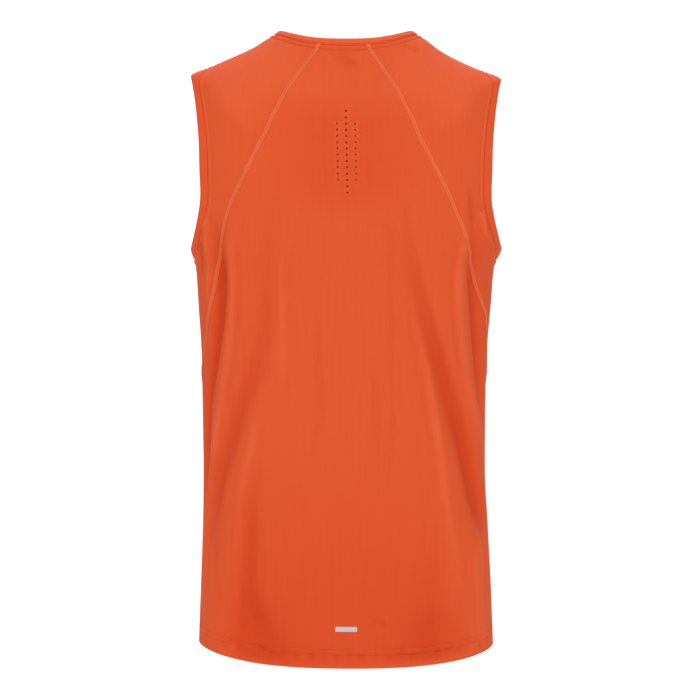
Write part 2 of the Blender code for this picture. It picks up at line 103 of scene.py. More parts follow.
# Creases of the hanging cloth. Each follows a line of (degrees around, height). It stands out or lies in by
# lift, and a fifth of that is left at its widths towards the centre and towards the side, which grow by spread
# from its start to its end. Its flanks are round where sharp is 2 and drawn up to an edge where it is less. Its
# ends fade over these lengths.
creaseReach = 2.2  # widths from its line beyond which a crease is left out
neckHold = 7.0  # distance from the neck seam within which all creases die out
creaseColumns = ("lift", "widths", "spread", "sharp", "fades", "line")
creaseRows = {
    # down the back on the left
    "leftBladePipe": (2.6, (8, 12), (0.9, 1.1), 1.3, (90, 50), (
        (37.5, -200), (41, -225), (43, -257), (44.5, -301), (48.5, -356), (54, -411), (60, -466), (69, -510),
        (75, -555), (75, -600), (72, -640))),
    "leftLowerBladePipe": (2.4, (6, 6), (1, 1), 1.4, (35, 35), ((53, -405), (57, -432), (62, -470), (68, -505))),
    "leftBladeHollow": (-12.0, (17, 14), (0.85, 0.9), 2.0, (115, 110), (
        (45, -198), (47.5, -215), (52, -256), (54.5, -300), (61.8, -355), (71, -411), (75.5, -467), (80, -520),
        (85, -560))),
    "leftDrapeHollow": (-7.6, (15, 13), (0.9, 1.2), 2.0, (420, 90), (
        (22, -140), (24, -180), (26.5, -230), (29, -301), (32.5, -356), (41.5, -410), (52, -464), (63, -521),
        (66, -590))),
    "leftDrapePipe": (2.0, (11, 9), (1, 1), 1.4, (110, 60), (
        (22, -230), (22.5, -302), (22.5, -356), (24, -410))),
    "leftLowerDrapePipe": (3.4, (9, 9), (1.0, 1.1), 1.4, (70, 60), (
        (32.5, -405), (34.5, -430), (37, -465), (42, -519), (43.5, -583), (44.5, -640))),
    "leftSkirtHollow": (-7.0, (13, 9), (0.6, 2.2), 2.0, (160, 45), (
        (32.5, -440), (36.5, -500), (39.5, -560), (40, -620), (37, -665), (35, -700))),
    "leftSkirtPucker": (-2.0, (6, 6), (1, 1), 1.8, (30, 30), ((60, -550), (60.5, -590), (58, -630))),
    "leftHemHollow": (-8.0, (62, 32), (1, 1), 2.0, (70, 14), ((37, -605), (38, -650), (39, -700))),
    # down the back on the right
    "rightBladePipe": (3.0, (9, 8), (0.9, 1.1), 1.3, (45, 45), (
        (-40, -205), (-43, -232), (-44.5, -262), (-45.5, -301), (-50.5, -356), (-58, -410), (-66, -440),
        (-74, -480))),
    "rightBladeHollow": (-9.0, (11, 14), (0.8, 1.1), 2.0, (150, 70), (
        (-43, -190), (-48, -222), (-52.5, -260), (-57, -300), (-63.5, -354), (-70.5, -404), (-77, -445))),
    "rightDrapeHollow": (-11.3, (21, 9.5), (0.35, 1.4), 2.0, (400, 60), (
        (-16.5, -160), (-21, -240), (-28, -301), (-36, -356), (-45, -410), (-57, -465), (-67, -519),
        (-75.5, -548), (-84, -572))),
    "rightDrapePipe": (3.4, (10, 11), (0.8, 1.2), 1.4, (120, 70), (
        (-21, -280), (-25.5, -330), (-29, -356), (-33.5, -409), (-37, -465), (-40.5, -519), (-43.5, -563),
        (-45.5, -590), (-49, -640))),
    "rightSkirtPipe": (2.6, (14, 14), (0.8, 1.2), 1.6, (50, 20), (
        (-57, -555), (-59, -590), (-61, -647), (-62, -700))),
    "rightSkirtHollow": (-3.0, (30, 14), (0.8, 1.3), 2.0, (110, 40), (
        (-37, -530), (-35.5, -585), (-33.5, -642), (-32, -700))),
    "rightHemHollow": (-5.0, (52, 45), (1, 1), 2.0, (65, 12), ((-35, -610), (-35, -655), (-35, -700))),
    "rightSkirtEdgePipe": (2.2, (9, 8), (1, 1), 1.5, (40, 40), ((-62, -530), (-64, -575), (-66, -620))),
    # where the cloth falls in below the waist
    "seatHollow": (-5.0, (150, 150), (1, 1), 4.0, (240, 8), ((2, -400), (2, -560), (1, -700))),
    "spineHollow": (-5.0, (85, 85), (1, 1), 2.6, (50, 80), ((0, -75), (0, -135), (-1, -225))),
    # small draws across the back
    "leftBladeDraw": (-1.4, (4.5, 3.5), (1, 1.1), 1.8, (50, 50), (
        (39.5, -225), (40.5, -257), (41.5, -301), (45, -355), (51.5, -410), (58, -466))),
    "rightBladeDraw": (-1.3, (5, 3.5), (1, 1), 1.8, (50, 50), (
        (-38, -215), (-40.5, -247), (-42, -301), (-47, -356), (-53, -400))),
    "rightDrapeDraw": (-1.6, (6, 4), (1, 1), 1.8, (50, 60), (
        (-21, -285), (-24, -330), (-25.5, -356), (-30, -409), (-34, -465), (-37, -519))),
    "leftSpineDraw": (-2.3, (5, 6), (1, 1), 1.8, (60, 70), ((10, -300), (9.5, -365), (9, -409), (9.5, -480))),
    "leftWaistDraw": (-1.4, (6, 5), (1, 1), 1.8, (60, 70), ((18, -236), (20, -300), (19.5, -355), (20.5, -430))),
    "rightSpineDraw": (-2.2, (5, 5), (1, 1), 1.8, (50, 60), ((-9.5, -350), (-10.5, -420), (-12, -500))),
    "rightWaistDraw": (-1.9, (6, 6), (1, 1), 1.8, (60, 90), (
        (-13, -190), (-15, -250), (-16, -312), (-17, -400), (-17.5, -520))),
    # beside the armholes
    "leftUnderarmPipe": (2.7, (6, 4), (1, 1), 1.5, (20, 40), (
        (54.5, -203), (58.5, -246), (62, -283), (65.5, -312))),
    "leftUnderarmHollow": (-6.0, (4, 6), (1, 1), 2.0, (16, 16), ((61, -232), (66.5, -253), (70, -278))),
    "rightUnderarmPleat": (5.0, (4.5, 3), (1, 1), 1.5, (8, 8), (
        (-50.5, -202), (-52.5, -214), (-54.5, -226), (-58, -237))),
    "rightUnderarmHollow": (-3.0, (5, 4), (1, 1), 2.0, (16, 16), ((-44.5, -180), (-46, -202), (-48.5, -223))),
    # below the neck
    "napeHollow": (-2.6, (12, 9), (0.8, 1.1), 2.0, (10, 12), ((13, -30), (6, -33), (-1, -38), (-8, -44))),
    "napeDraw": (-2.2, (3, 2.6), (1, 1.2), 1.8, (9, 8), ((6, -30), (0.5, -34), (-5, -39), (-9.5, -44))),
    "rightCollarDraw": (-2.0, (3.5, 3.5), (1, 1), 1.8, (6, 8), ((-47, -16), (-50.5, -22), (-56, -27))),
    "leftShoulderSwell": (1.9, (46, 42), (1, 1), 2.2, (50, 45), ((37, -8), (43, -40), (48, -70), (51, -100))),
    "rightShoulderSwell": (1.9, (46, 42), (1, 1), 2.2, (50, 45), (
        (-37, -8), (-43, -40), (-48, -70), (-51, -100))),
    # down the front
    "leftChestHollow": (-10.5, (17, 16), (0.7, 1.2), 2.0, (110, 110), (
        (129, -225), (126, -300), (121, -380), (112, -460), (104, -540))),
    "leftChestPipe": (4.8, (18, 12), (0.8, 1.3), 1.5, (110, 120), (
        (139, -230), (137, -320), (131, -420), (124, -520), (117, -620))),
    "leftBellyHollow": (-7.0, (17, 13), (0.7, 1.4), 2.0, (150, 20), (
        (150, -270), (148.5, -380), (145, -480), (139, -580), (134, -700))),
    "rightChestHollow": (-11.0, (17, 16), (0.7, 1.2), 2.0, (110, 100), (
        (-131, -230), (-128, -300), (-122, -380), (-113, -450), (-105, -520))),
    "rightChestPipe": (4.6, (18, 12), (0.8, 1.3), 1.5, (110, 120), (
        (-141, -235), (-139, -320), (-133, -420), (-126, -510), (-119, -600))),
    "rightBellyHollow": (-6.4, (17, 13), (0.7, 1.4), 2.0, (140, 20), (
        (-153, -280), (-151, -390), (-147, -490), (-141, -590), (-137, -700))),
    "leftBreastDraw": (-1.1, (8, 8), (1, 1), 2.0, (70, 90), (
        (166, -260), (165, -340), (162, -430), (160, -520))),
    "rightBreastDraw": (-2.3, (5, 6), (1, 1), 1.8, (60, 70), ((-164, -290), (-166, -370), (-168, -450))),
}

# Short slanting puckers that the hem's stitching draws up: degrees around and height of both ends, and lift
puckers = {
    "widths": (4.6, 4.0), "sharp": 1.8, "fade": 6.0, "depth": 2.4,  # lifts are shares of this depth
    "lines": (
        (16.5, -677, 18.5, -694, -0.7), (11.5, -679, 12.8, -695, -0.9), (6.5, -676, 8.5, -696, -0.8),
        (3.0, -683, 3.8, -697, -0.4), (-1.8, -680, -1.0, -697, -0.6), (-6.0, -682, -4.4, -696, -0.8),
        (-11.6, -679, -9.4, -695, -0.5), (-15.5, -683, -14.2, -697, -0.8), (-8.5, -646, -14.5, -654, -1.0),
        (21.8, -676, 24.0, -692, -0.9), (27.5, -680, 28.6, -694, -0.6), (32.2, -674, 34.6, -691, -1.0),
        (38.6, -678, 40.0, -692, -0.5), (43.0, -673, 45.5, -690, -0.8), (50.5, -676, 52.0, -688, -0.7),
        (58.5, -672, 61.5, -686, -0.9), (66.0, -673, 68.0, -685, -0.5), (74.0, -669, 77.0, -683, -0.8),
        (-20.4, -676, -18.6, -693, -0.7), (-24.8, -681, -23.8, -694, -1.0), (-30.8, -675, -28.9, -692, -0.6),
        (-36.0, -679, -35.2, -692, -0.9), (-42.5, -673, -40.4, -690, -0.7), (-47.2, -677, -46.5, -689, -1.0),
        (-54.0, -672, -52.0, -687, -0.6), (-61.5, -674, -60.0, -686, -0.9), (-70.0, -670, -67.6, -684, -0.7),
        (-79.0, -671, -77.5, -682, -0.8), (99.0, -669, 102.0, -682, -0.7), (110.5, -671, 112.5, -684, -0.9),
        (121.0, -668, 123.5, -684, -0.6), (128.5, -672, 130.0, -684, -0.9), (138.0, -669, 141.0, -685, -0.8),
        (147.5, -673, 149.0, -686, -0.6), (155.0, -670, 157.8, -687, -0.9), (164.5, -672, 166.0, -687, -0.7),
        (172.5, -671, 175.0, -688, -0.8), (-97.5, -668, -101.0, -682, -0.8), (-108.0, -671, -110.0, -683, -0.6),
        (-117.5, -669, -120.5, -683, -0.9), (-129.0, -671, -130.8, -684, -0.7),
        (-137.0, -668, -140.0, -685, -0.9), (-146.5, -672, -148.0, -685, -0.6),
        (-156.0, -669, -159.0, -687, -0.8), (-167.0, -672, -168.4, -687, -0.9),
        (-175.0, -670, -177.6, -688, -0.6),
    ),
}
creases = {name: dict(zip(creaseColumns, row)) for name, row in creaseRows.items()}
for number, (around, height, endAround, endHeight, lift) in enumerate(puckers["lines"]):
    creases["pucker" + str(number + 1)] = {
        "lift": lift * puckers["depth"], "widths": puckers["widths"], "spread": (1, 1),
        "sharp": puckers["sharp"], "fades": (puckers["fade"], puckers["fade"]),
        "line": ((around, height), ((around + endAround) / 2, (height + endHeight) / 2), (endAround, endHeight)),
    }


def smoothCurve(knots, values):
    # A smooth curve through a short table, with no bumps between its rows
    knots, values = np.asarray(knots, float), np.asarray(values, float)
    steps = np.diff(knots)
    rises = np.diff(values) / steps
    slopes = np.concatenate([rises[:1], np.zeros(len(rises) - 1), rises[-1:]])
    for i in range(1, len(rises)):
        if rises[i - 1] * rises[i] > 0:
            before, after = 2 * steps[i] + steps[i - 1], steps[i] + 2 * steps[i - 1]
            slopes[i] = (before + after) / (before / rises[i - 1] + after / rises[i])

    def valueAt(at):
        i = np.clip(np.searchsorted(knots, at, side="right") - 1, 0, len(knots) - 2)
        step = knots[i + 1] - knots[i]
        share = (at - knots[i]) / step
        rise = share * share * (3 - 2 * share)
        start = share * (1 - share) ** 2 * step * slopes[i]
        end = share**2 * (share - 1) * step * slopes[i + 1]
        return values[i] * (1 - rise) + values[i + 1] * rise + start + end

    return valueAt


def sectionCurves():
    rows = form["sections"].values()
    column = {name: [row[i] for row in rows] for i, name in enumerate(form["columns"])}
    halfWidths = (np.array(column["left"]) + np.array(column["right"])) / 2
    steps = np.hypot(np.diff(halfWidths), np.diff(column["side"]))
    levels = np.concatenate([[0.0], np.cumsum(steps)])
    curves = {name: smoothCurve(levels, values) for name, values in column.items()}
    return curves, dict(zip(form["sections"], levels))


section, levelOf = sectionCurves()
hemLevel = levelOf["hem"]
raglanTable = dict(zip(raglan["columns"], zip(*raglan["rows"])))
raglanEnd = raglanTable["level"][-1]
raglanCurve = {side: smoothCurve(raglanTable["level"], raglanTable[side]) for side in sides}


def ease(share):
    share = np.clip(share, 0.0, 1.0)
    return share * share * (3 - 2 * share)


def fifth(distance, width, sharp=2):
    # 1 on a line, and a fifth at this width from it
    return 0.2 ** ((distance / width) ** sharp)


def unit(vectors):
    return vectors / np.linalg.norm(vectors, axis=-1, keepdims=True)


def pairs(first, second):
    # Places from degrees around and levels, or other pairs, either of which may be one number for all
    return np.stack(np.broadcast_arrays(first, second), axis=-1)


def runAlong(points):
    # Distances along a line of points
    return np.concatenate([[0.0], np.cumsum(np.linalg.norm(np.diff(points, axis=0), axis=-1))])


def signOf(side):
    return 1 if side == "left" else -1


def formPoints(around, level):
    # The form without its folds
    angle = np.radians(around)
    sine, cosine = np.sin(angle), np.cos(angle)
    square = section["square"](level)
    wide = np.where(sine >= 0, section["left"](level), section["right"](level))
    deep = np.where(cosine >= 0, section["deepBack"](level), section["deepFront"](level))
    centre = np.where(cosine >= 0, section["back"](level), section["front"](level))
    flat = np.where(cosine >= 0, section["flatBack"](level), section["flatFront"](level))
    x = wide * (sine + square * np.sin(3 * angle)) / (1 - square)
    y = deep * (cosine - square * np.cos(3 * angle)) / (1 - square)
    side = section["side"](level)
    z = side + (centre - side) * (1 - np.abs(sine) ** flat) + section["tilt"](level) * sine
    return np.stack([x, y, z], axis=-1)


# The cloth's grain: millimetres across from the centre, along a level, and up
grainAround = np.arange(0.0, 181.0)
grainLevel = np.linspace(0.0, hemLevel, 150)


def grainTable(sign):
    points = formPoints(sign * grainAround[:, None], grainLevel[None])
    steps = np.linalg.norm(np.diff(points, axis=0), axis=-1)
    return np.concatenate([np.zeros((1, len(grainLevel))), np.cumsum(steps, axis=0)])


grainTables = {sign: grainTable(sign) for sign in (1, -1)}


def grainOf(places):
    around = (places[..., 0] + 180.0) % 360.0 - 180.0
    column = np.clip(np.abs(around), 0.0, 179.999)
    row = np.clip(places[..., 1] / hemLevel, 0.0, 0.9999) * (len(grainLevel) - 1)
    i, j = column.astype(int), row.astype(int)
    s, t = column - i, row - j
    across = np.zeros(np.shape(around))
    for sign in (1, -1):
        table = grainTables[sign]
        upper = table[i, j] * (1 - s) + table[i + 1, j] * s
        lower = table[i, j + 1] * (1 - s) + table[i + 1, j + 1] * s
        across = np.where(np.sign(around + 1e-9) == sign, sign * (upper * (1 - t) + lower * t), across)
    return np.stack([across, -places[..., 1]], axis=-1)


def placeAt(around, height):
    # The place at a height, below the neck seam
    levels = np.linspace(0.0, hemLevel, 701)
    heights = formPoints(np.full(len(levels), float(around)), levels)[:, 2]
    return around, np.interp(-height, -heights, levels)


def creaseLine(line, steps=25):
    # A smooth line of grain places through a crease's points
    places = np.array([placeAt(*point) for point in line])
    run = runAlong(grainOf(places))
    even = np.linspace(0.0, run[-1], steps)
    return grainOf(np.stack([smoothCurve(run, places[:, k])(even) for k in (0, 1)], axis=-1))


def creaseLift(grain, crease):
    # How far one crease lifts the cloth at these places of its grain
    line = crease["drawn"]
    reach = creaseReach * max(crease["widths"]) * max(crease["spread"])
    near = ((grain > line.min(axis=0) - reach) & (grain < line.max(axis=0) + reach)).all(axis=-1)
    lift = np.zeros(grain.shape[:-1])
    if not near.any():
        return lift
    at = grain[near]
    best, away, run, total = np.full(len(at), np.inf), np.zeros(len(at)), np.zeros(len(at)), 0.0
    for start, end in zip(line[:-1], line[1:]):
        step = end - start
        length = math.hypot(*step)
        offset = at - start
        share = np.clip(offset @ step / length**2, 0.0, 1.0)
        distance = np.hypot(*(offset - share[:, None] * step).T)
        closer = distance < best
        side = step[1] * offset[:, 0] - step[0] * offset[:, 1]
        best = np.where(closer, distance, best)
        away = np.where(closer, distance * np.sign(side), away)
        run = np.where(closer, total + share * length, run)
        total += length
    outward = away * -np.sign(line[len(line) // 2, 0]) > 0
    width = np.where(outward, crease["widths"][1], crease["widths"][0])
    width = width * np.interp(run / total, (0.0, 1.0), crease["spread"])
    fadeIn, fadeOut = crease["fades"]
    along = ease(run / fadeIn) * ease((total - run) / fadeOut)
    lift[near] = crease["lift"] * along * fifth(best, width, crease["sharp"])
    return lift


for crease in creases.values():
    crease["drawn"] = creaseLine(crease["line"])


def creaseRelief(grain):
    # All creases together, held flat by the neck seam
    return sum(creaseLift(grain, crease) for crease in creases.values()) * ease(-grain[..., 1] / neckHold)


def clothPoints(places):
    # The middle of the cloth, creases included, for an array of (around, level)
    around, level = places[..., 0], places[..., 1]
    across = formPoints(around + 0.5, level) - formPoints(around - 0.5, level)
    down = formPoints(around, level + 0.5) - formPoints(around, level - 0.5)
    return formPoints(around, level) + unit(np.cross(across, down)) * creaseRelief(grainOf(places))[..., None]


def clothSlopes(places):
    # How the cloth moves for one degree around and for one millimetre of level
    across = clothPoints(places + [0.5, 0.0]) - clothPoints(places - [0.5, 0.0])
    down = clothPoints(places + [0.0, 0.5]) - clothPoints(places - [0.0, 0.5])
    return across, down


def clothNormals(places):
    return unit(np.cross(*clothSlopes(places)))


def runs(start, *stretches):
    # Positions from start on, through stretches of (end, pitch)
    steps = [np.array([start])]
    for end, pitch in stretches:
        steps.append(np.linspace(start, end, max(1, math.ceil((end - start) / pitch)) + 1)[1:])
        start = end
    return np.concatenate(steps)


def armholeLine(side, toBack, margin, steps):
    # Half of the oval about an armhole, from its top to its foot: drawn from the side, found on the form.
    # margin is 0 for the edge of the opening and 1 for the seam of the band.
    sign, half = signOf(side), "back" if toBack else "front"
    reach = (armhole[half] + margin * armhole["bandAside"]) * (1 if toBack else -1)
    square = armhole[half + "Square"]
    top = armhole["top"] + margin * armhole["bandAbove"] + sign * section["tilt"](levelOf["shoulderTip"])
    foot = armhole["foot"] - margin * armhole["bandBelow"]
    place = np.array([sign * 90.0, levelOf["shoulderTip"]])
    line = []
    for turn in np.linspace(0.0, math.pi, steps + 1):
        halfHeight = top - armhole["widest"] if turn < math.pi / 2 else armhole["widest"] - foot
        aside = reach * abs(math.sin(turn)) ** square
        wanted = np.array([aside, armhole["widest"] + halfHeight * math.cos(turn)])
        # Newton steps from the place before, of at most 6 each, and more of them for the first place
        for _ in range(40 if turn == 0 else 12):
            here = formPoints(*place)[1:]
            byAround = (formPoints(place[0] + 0.01, place[1])[1:] - here) / 0.01
            byLevel = (formPoints(place[0], place[1] + 0.01)[1:] - here) / 0.01
            step = np.linalg.solve(np.array([byAround, byLevel]).T, wanted - here)
            place = place + np.clip(step, -6.0, 6.0)
            if np.abs(step).max() < 1e-4:
                break
        line.append(place)
    line[0][0] = line[-1][0] = sign * 90.0
    return np.array(line)


def besideLine(places, distance):
    # A line of places beside another on the cloth, on the left of its run where the distance is positive
    points = clothPoints(places)
    along = unit(np.gradient(points, axis=0))
    across, down = clothSlopes(places)
    aside = np.cross(unit(np.cross(across, down)), along) * distance
    a, b, c = (across**2).sum(-1), (across * down).sum(-1), (down**2).sum(-1)
    p, q = (across * aside).sum(-1), (down * aside).sum(-1)
    return places + np.stack([c * p - b * q, a * q - b * p], axis=-1) / (a * c - b * b)[:, None]


def distanceTo(points, line):
    # Distance of each point from a line of points
    flat = points.reshape(-1, 3)
    squares = (flat**2).sum(1)[:, None] + (line**2).sum(1)[None] - 2 * flat @ line.T
    near = np.argmin(squares, axis=1)
    best = np.full(len(flat), np.inf)
    for first in (near - 1, near):
        first = np.clip(first, 0, len(line) - 2)
        run = line[first + 1] - line[first]
        share = np.clip(((flat - line[first]) * run).sum(1) / (run**2).sum(1), 0.0, 1.0)
        best = np.minimum(best, np.linalg.norm(flat - line[first] - run * share[:, None], axis=1))
    return best.reshape(points.shape[:-1])


seamLine = {}  # places down the middle of each seam, from the top or the centre back on
for side in sides:
    levels = np.linspace(0.0, raglanEnd, 226)
    seamLine["raglan", side] = pairs(signOf(side) * raglanCurve[side](levels), levels)
    backHalf, frontHalf = (armholeLine(side, toBack, 1, armhole["seamSteps"]) for toBack in (True, False))
    seamLine["armholeBack", side], seamLine["armholeFront", side] = backHalf, frontHalf
    seamLine["shoulder", side] = pairs(signOf(side) * 90.0, np.linspace(0.0, backHalf[0, 1], 60))
    seamLine["side", side] = pairs(signOf(side) * 90.0, np.linspace(backHalf[-1, 1], hemLevel, 240))
for name, level in (("neck", 0.0), ("hem", hemLevel)):
    seamLine[name, "all"] = pairs(np.linspace(0.0, 360.0, 241), level)

# How the seams shape the cloth beside them: millimetres from the seam, to where a fifth is left, and lift
seamShape = {
    "raglan": ((0.0, 2.4, 0.55), (1.4, 0.45, -0.22)),
    "neck": ((0.0, 1.2, -0.9), (3.4, 2.4, 0.7), (6.6, 1.0, -0.8)),
    "armholeBack": ((0.0, 1.2, -0.9), (2.6, 2.2, 0.6), (5.0, 0.8, -0.3)),
    "armholeFront": ((0.0, 1.2, -0.9), (2.6, 2.2, 0.6), (5.0, 0.8, -0.3)),
    "shoulder": ((0.0, 0.8, -0.35), (2.4, 2.0, 0.15)),
    "side": ((0.0, 0.8, -0.35), (2.4, 2.0, 0.15)),
    "hem": ((14.5, 0.9, -0.35), (17.5, 2.2, 0.2), (20.5, 0.9, -0.35)),
}
seamPoints = {name: clothPoints(line) for name, line in seamLine.items()}


def seamLift(points, kinds):
    # How far the seams of these kinds lift the cloth
    lift = np.zeros(points.shape[:-1])
    for (kind, side), line in seamPoints.items():
        if kind in kinds:
            away = distanceTo(points, line)
            for distance, halfWidth, height in seamShape[kind]:
                lift += height * fifth(away - distance, halfWidth)
    return lift


def sewnPoints(places, kinds=tuple(seamShape)):
    # The middle of the cloth with its seams, and its outward directions
    points, outward = clothPoints(places), clothNormals(places)
    return points + outward * seamLift(points, kinds)[..., None], outward


def quads(grid):
    # The cells of a grid of point numbers
    corners = (grid[:-1, :-1], grid[1:, :-1], grid[1:, 1:], grid[:-1, 1:])
    return np.stack(corners, axis=-1).reshape(-1, 4)


def makeMesh(name, points, faces, grain, outward, material, angle=50.0, relief=None):
    # One object from points in millimetres, faces of four corners and the grain at each corner. relief is how
    # far each point stands out with the creases; the jersey's painted shade and painted highlight follow it.
    mesh = bpy.data.meshes.new(name)
    a, b, d = (points[faces[0, k]] for k in (0, 1, 3))
    if np.dot(np.cross(b - a, d - a), outward) < 0:
        faces, grain = faces[:, ::-1], grain[:, ::-1]
    mesh.from_pydata((points * mm).tolist(), [], faces.tolist())
    layer = mesh.uv_layers.new(name="grain")
    layer.data.foreach_set("uv", (grain * mm).reshape(-1).astype(np.float32))
    if relief is not None:
        mesh.attributes.new("relief", "FLOAT", "POINT").data.foreach_set("value", relief.astype(np.float32))
    mesh.shade_smooth()
    mesh.set_sharp_from_angle(angle=math.radians(angle))
    mesh.materials.append(material)
    piece = bpy.data.objects.new(name, mesh)
    bpy.context.scene.collection.objects.link(piece)
    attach(piece, "root")
    return piece


def shell(name, middle, outward, over, under, grain, material, closed=False, holes=()):
    # A thin wall of cloth. over and under are how far its faces lie from the middle. A closed grid joins its
    # last row to its first. A hole takes out a block of cells and joins the block's edge to its own rim.
    rows, columns = middle.shape[:2]
    over, under = np.broadcast_to(over, (rows, columns)), np.broadcast_to(under, (rows, columns))
    points = [(middle + outward * lift[..., None]).reshape(-1, 3) for lift in (over, -under)]
    outer = np.arange(rows * columns).reshape(rows, columns)
    grainIndex = np.arange((rows + closed) * columns).reshape(-1, columns)
    if closed:
        outer = np.concatenate([outer, outer[:1]])
    kept = np.ones((outer.shape[0] - 1, columns - 1), bool)
    for hole in holes:
        kept[hole["rows"], hole["columns"]] = False
    kept = kept.reshape(-1)
    below = rows * columns
    faces, corners = [quads(outer)[kept]], [quads(grainIndex)[kept]]
    faces.append(faces[0][:, ::-1] + below)
    corners.append(corners[0][:, ::-1])

    def rim(edge, grainEdge):
        faces.append(quads(np.stack([edge + below, edge], axis=1)))
        corners.append(quads(np.stack([grainEdge, grainEdge], axis=1)))

    rim(outer[:, 0], grainIndex[:, 0])
    rim(outer[::-1, -1], grainIndex[::-1, -1])
    if not closed:
        rim(outer[0, ::-1], grainIndex[0, ::-1])
        rim(outer[-1], grainIndex[-1])
    grains = [grain.reshape(-1, 2)]
    count, grainCount = 2 * below, len(grains[0])
    for hole in holes:
        r, c = hole["rows"], hole["columns"]
        edge = np.concatenate([
            outer[r.start, c.start:c.stop], outer[r.start:r.stop, c.stop],
            outer[r.stop, c.stop:c.start:-1], outer[r.stop:r.start:-1, c.start],
        ])
        size = len(edge)
        points += [hole["points"] + hole["outward"] * lift.reshape(-1)[edge, None] for lift in (over, -under)]
        outerRim, ringGrain = count + np.arange(size), grainCount + np.arange(size)
        for first, second, firstGrain, secondGrain in (
            (edge, outerRim, edge, ringGrain),
            (outerRim + size, edge + below, ringGrain, edge),
            (outerRim, outerRim + size, ringGrain, ringGrain),
        ):
            loop, grainLoop = np.stack([first, second], axis=1), np.stack([firstGrain, secondGrain], axis=1)
            faces.append(quads(np.concatenate([loop, loop[:1]])))
            corners.append(quads(np.concatenate([grainLoop, grainLoop[:1]])))
        grains.append(hole["grain"])
        count, grainCount = count + 2 * size, grainCount + size
    points, faces, corners = np.concatenate(points), np.concatenate(faces), np.concatenate(corners)
    grains = np.concatenate(grains)
    # relief also sets the jersey's painted shade and painted highlight; the inner face takes it reversed
    relief = np.zeros(len(points))
    if not closed:
        relief[:below] = creaseRelief(grain.reshape(-1, 2))
        relief[below:2 * below] = -relief[:below]
    return makeMesh(name, points, faces, grains[corners], outward.reshape(-1, 3)[0], material, relief=relief)


def linearColour(hexCode):
    # A colour given as sRGB hex, as linear red, green, blue and alpha
    channels = [int(hexCode[i:i + 2], 16) / 255 for i in (1, 3, 5)]
    return [c / 12.92 if c <= 0.04045 else ((c + 0.055) / 1.055) ** 2.4 for c in channels] + [1.0]


def addNode(tree, kind, settings):
    # A setting is an input by its name or number, linked where its value is an output, or the node's own
    node = tree.nodes.new(kind)
    for name, value in settings.items():
        if isinstance(name, int) or name in node.inputs:
            if isinstance(value, bpy.types.NodeSocket):
                tree.links.new(value, node.inputs[name])
            else:
                node.inputs[name].default_value = value
        else:
            setattr(node, name, value)
    return node


def newMaterial(name, settings):
    # A material with constants on its shader's sockets
    material = bpy.data.materials.new(name)
    material.use_nodes = True
    shader = material.node_tree.nodes["Principled BSDF"]
    for socket, value in settings.items():
        shader.inputs[socket].default_value = value
    return material, material.node_tree, shader


def addGrain(tree):
    return addNode(tree, "ShaderNodeUVMap", {"uv_map": "grain"}).outputs["UV"]


def addWaves(tree, grain, direction, period):
    # Bands this many millimetres apart, in the wave texture's own scale
    return addNode(tree, "ShaderNodeTexWave", {
        "wave_type": "BANDS", "bands_direction": direction, "Vector": grain,
        "Scale": 2 * math.pi / (20 * period * mm),
    }).outputs["Fac"]


def addMix(tree, factor, first, second, blend="MIX"):
    return addNode(tree, "ShaderNodeMix", {
        "data_type": "RGBA", "blend_type": blend, "Factor": factor, 6: first, 7: second,
    }).outputs[2]


def addBump(tree, strength, depth, height, normal=None):
    settings = {"Strength": strength, "Distance": depth * mm, "Height": height}
    return addNode(tree, "ShaderNodeBump", settings | ({"Normal": normal} if normal else {})).outputs["Normal"]


def linkShader(tree, shader, colour, normal):
    tree.links.new(colour, shader.inputs["Base Color"])
    tree.links.new(normal, shader.inputs["Normal"])


# Polyester jersey, knitted plain from fine filament yarn and dyed: an even bright colour, nearly matt, with
# painted shade in the hollows and a painted highlight on the ridges, and faint upright streaks where the yarn's
# tension varied
jersey = {
    # hollow is painted shade and ridge a painted highlight over the plain colour; hollowAt and ridgeAt say where
    # each is full
    "body": {"hollow": "#C03F1A", "plain": "#C84E27", "ridge": "#D05A34"},
    # The bands' colours are the cloth's own, painted paler for the light that falls on them: painted light, most
    # on the neckband, which faces up
    "neckband": "#D1522A", "armholeBand": "#CE4E27",  # the bands have no creases
    "hollowAt": -10.0, "ridgeAt": 5.0,  # how far these lie in and stand out
    "streak": "#FDFAF9", "streakFrom": 0.35, "streakTo": 0.65,
    "roughness": 0.85, "ior": 1.54, "specular": 0.08,
    "wale": 2.3,  # the real wales are 0.6 mm apart, too fine to show, so they are drawn wider
    "course": 1.9,  # and the real courses 0.5 mm
    "stitchDepth": 0.04,
    "streakWidth": 4.2, "streakLength": 70.0, "streakDepth": 0.015,
    "bump": 0.5,
}


def paintedCreaseShading(tree, colours):
    # Painted shade and highlight: from the darker colour painted in the hollows over that of plain cloth to the
    # paler colour painted on the ridges
    relief = addNode(tree, "ShaderNodeAttribute", {"attribute_name": "relief"}).outputs["Fac"]
    low, high = jersey["hollowAt"], jersey["ridgeAt"]
    share = addNode(tree, "ShaderNodeMapRange", {"Value": relief, "From Min": low, "From Max": high})
    creased = addNode(tree, "ShaderNodeValToRGB", {"Fac": share.outputs["Result"]})
    stops = creased.color_ramp.elements
    stops.new(-low / (high - low))
    for stop, part in zip(stops, ("hollow", "plain", "ridge")):
        stop.color = linearColour(colours[part])
    return creased.outputs["Color"]


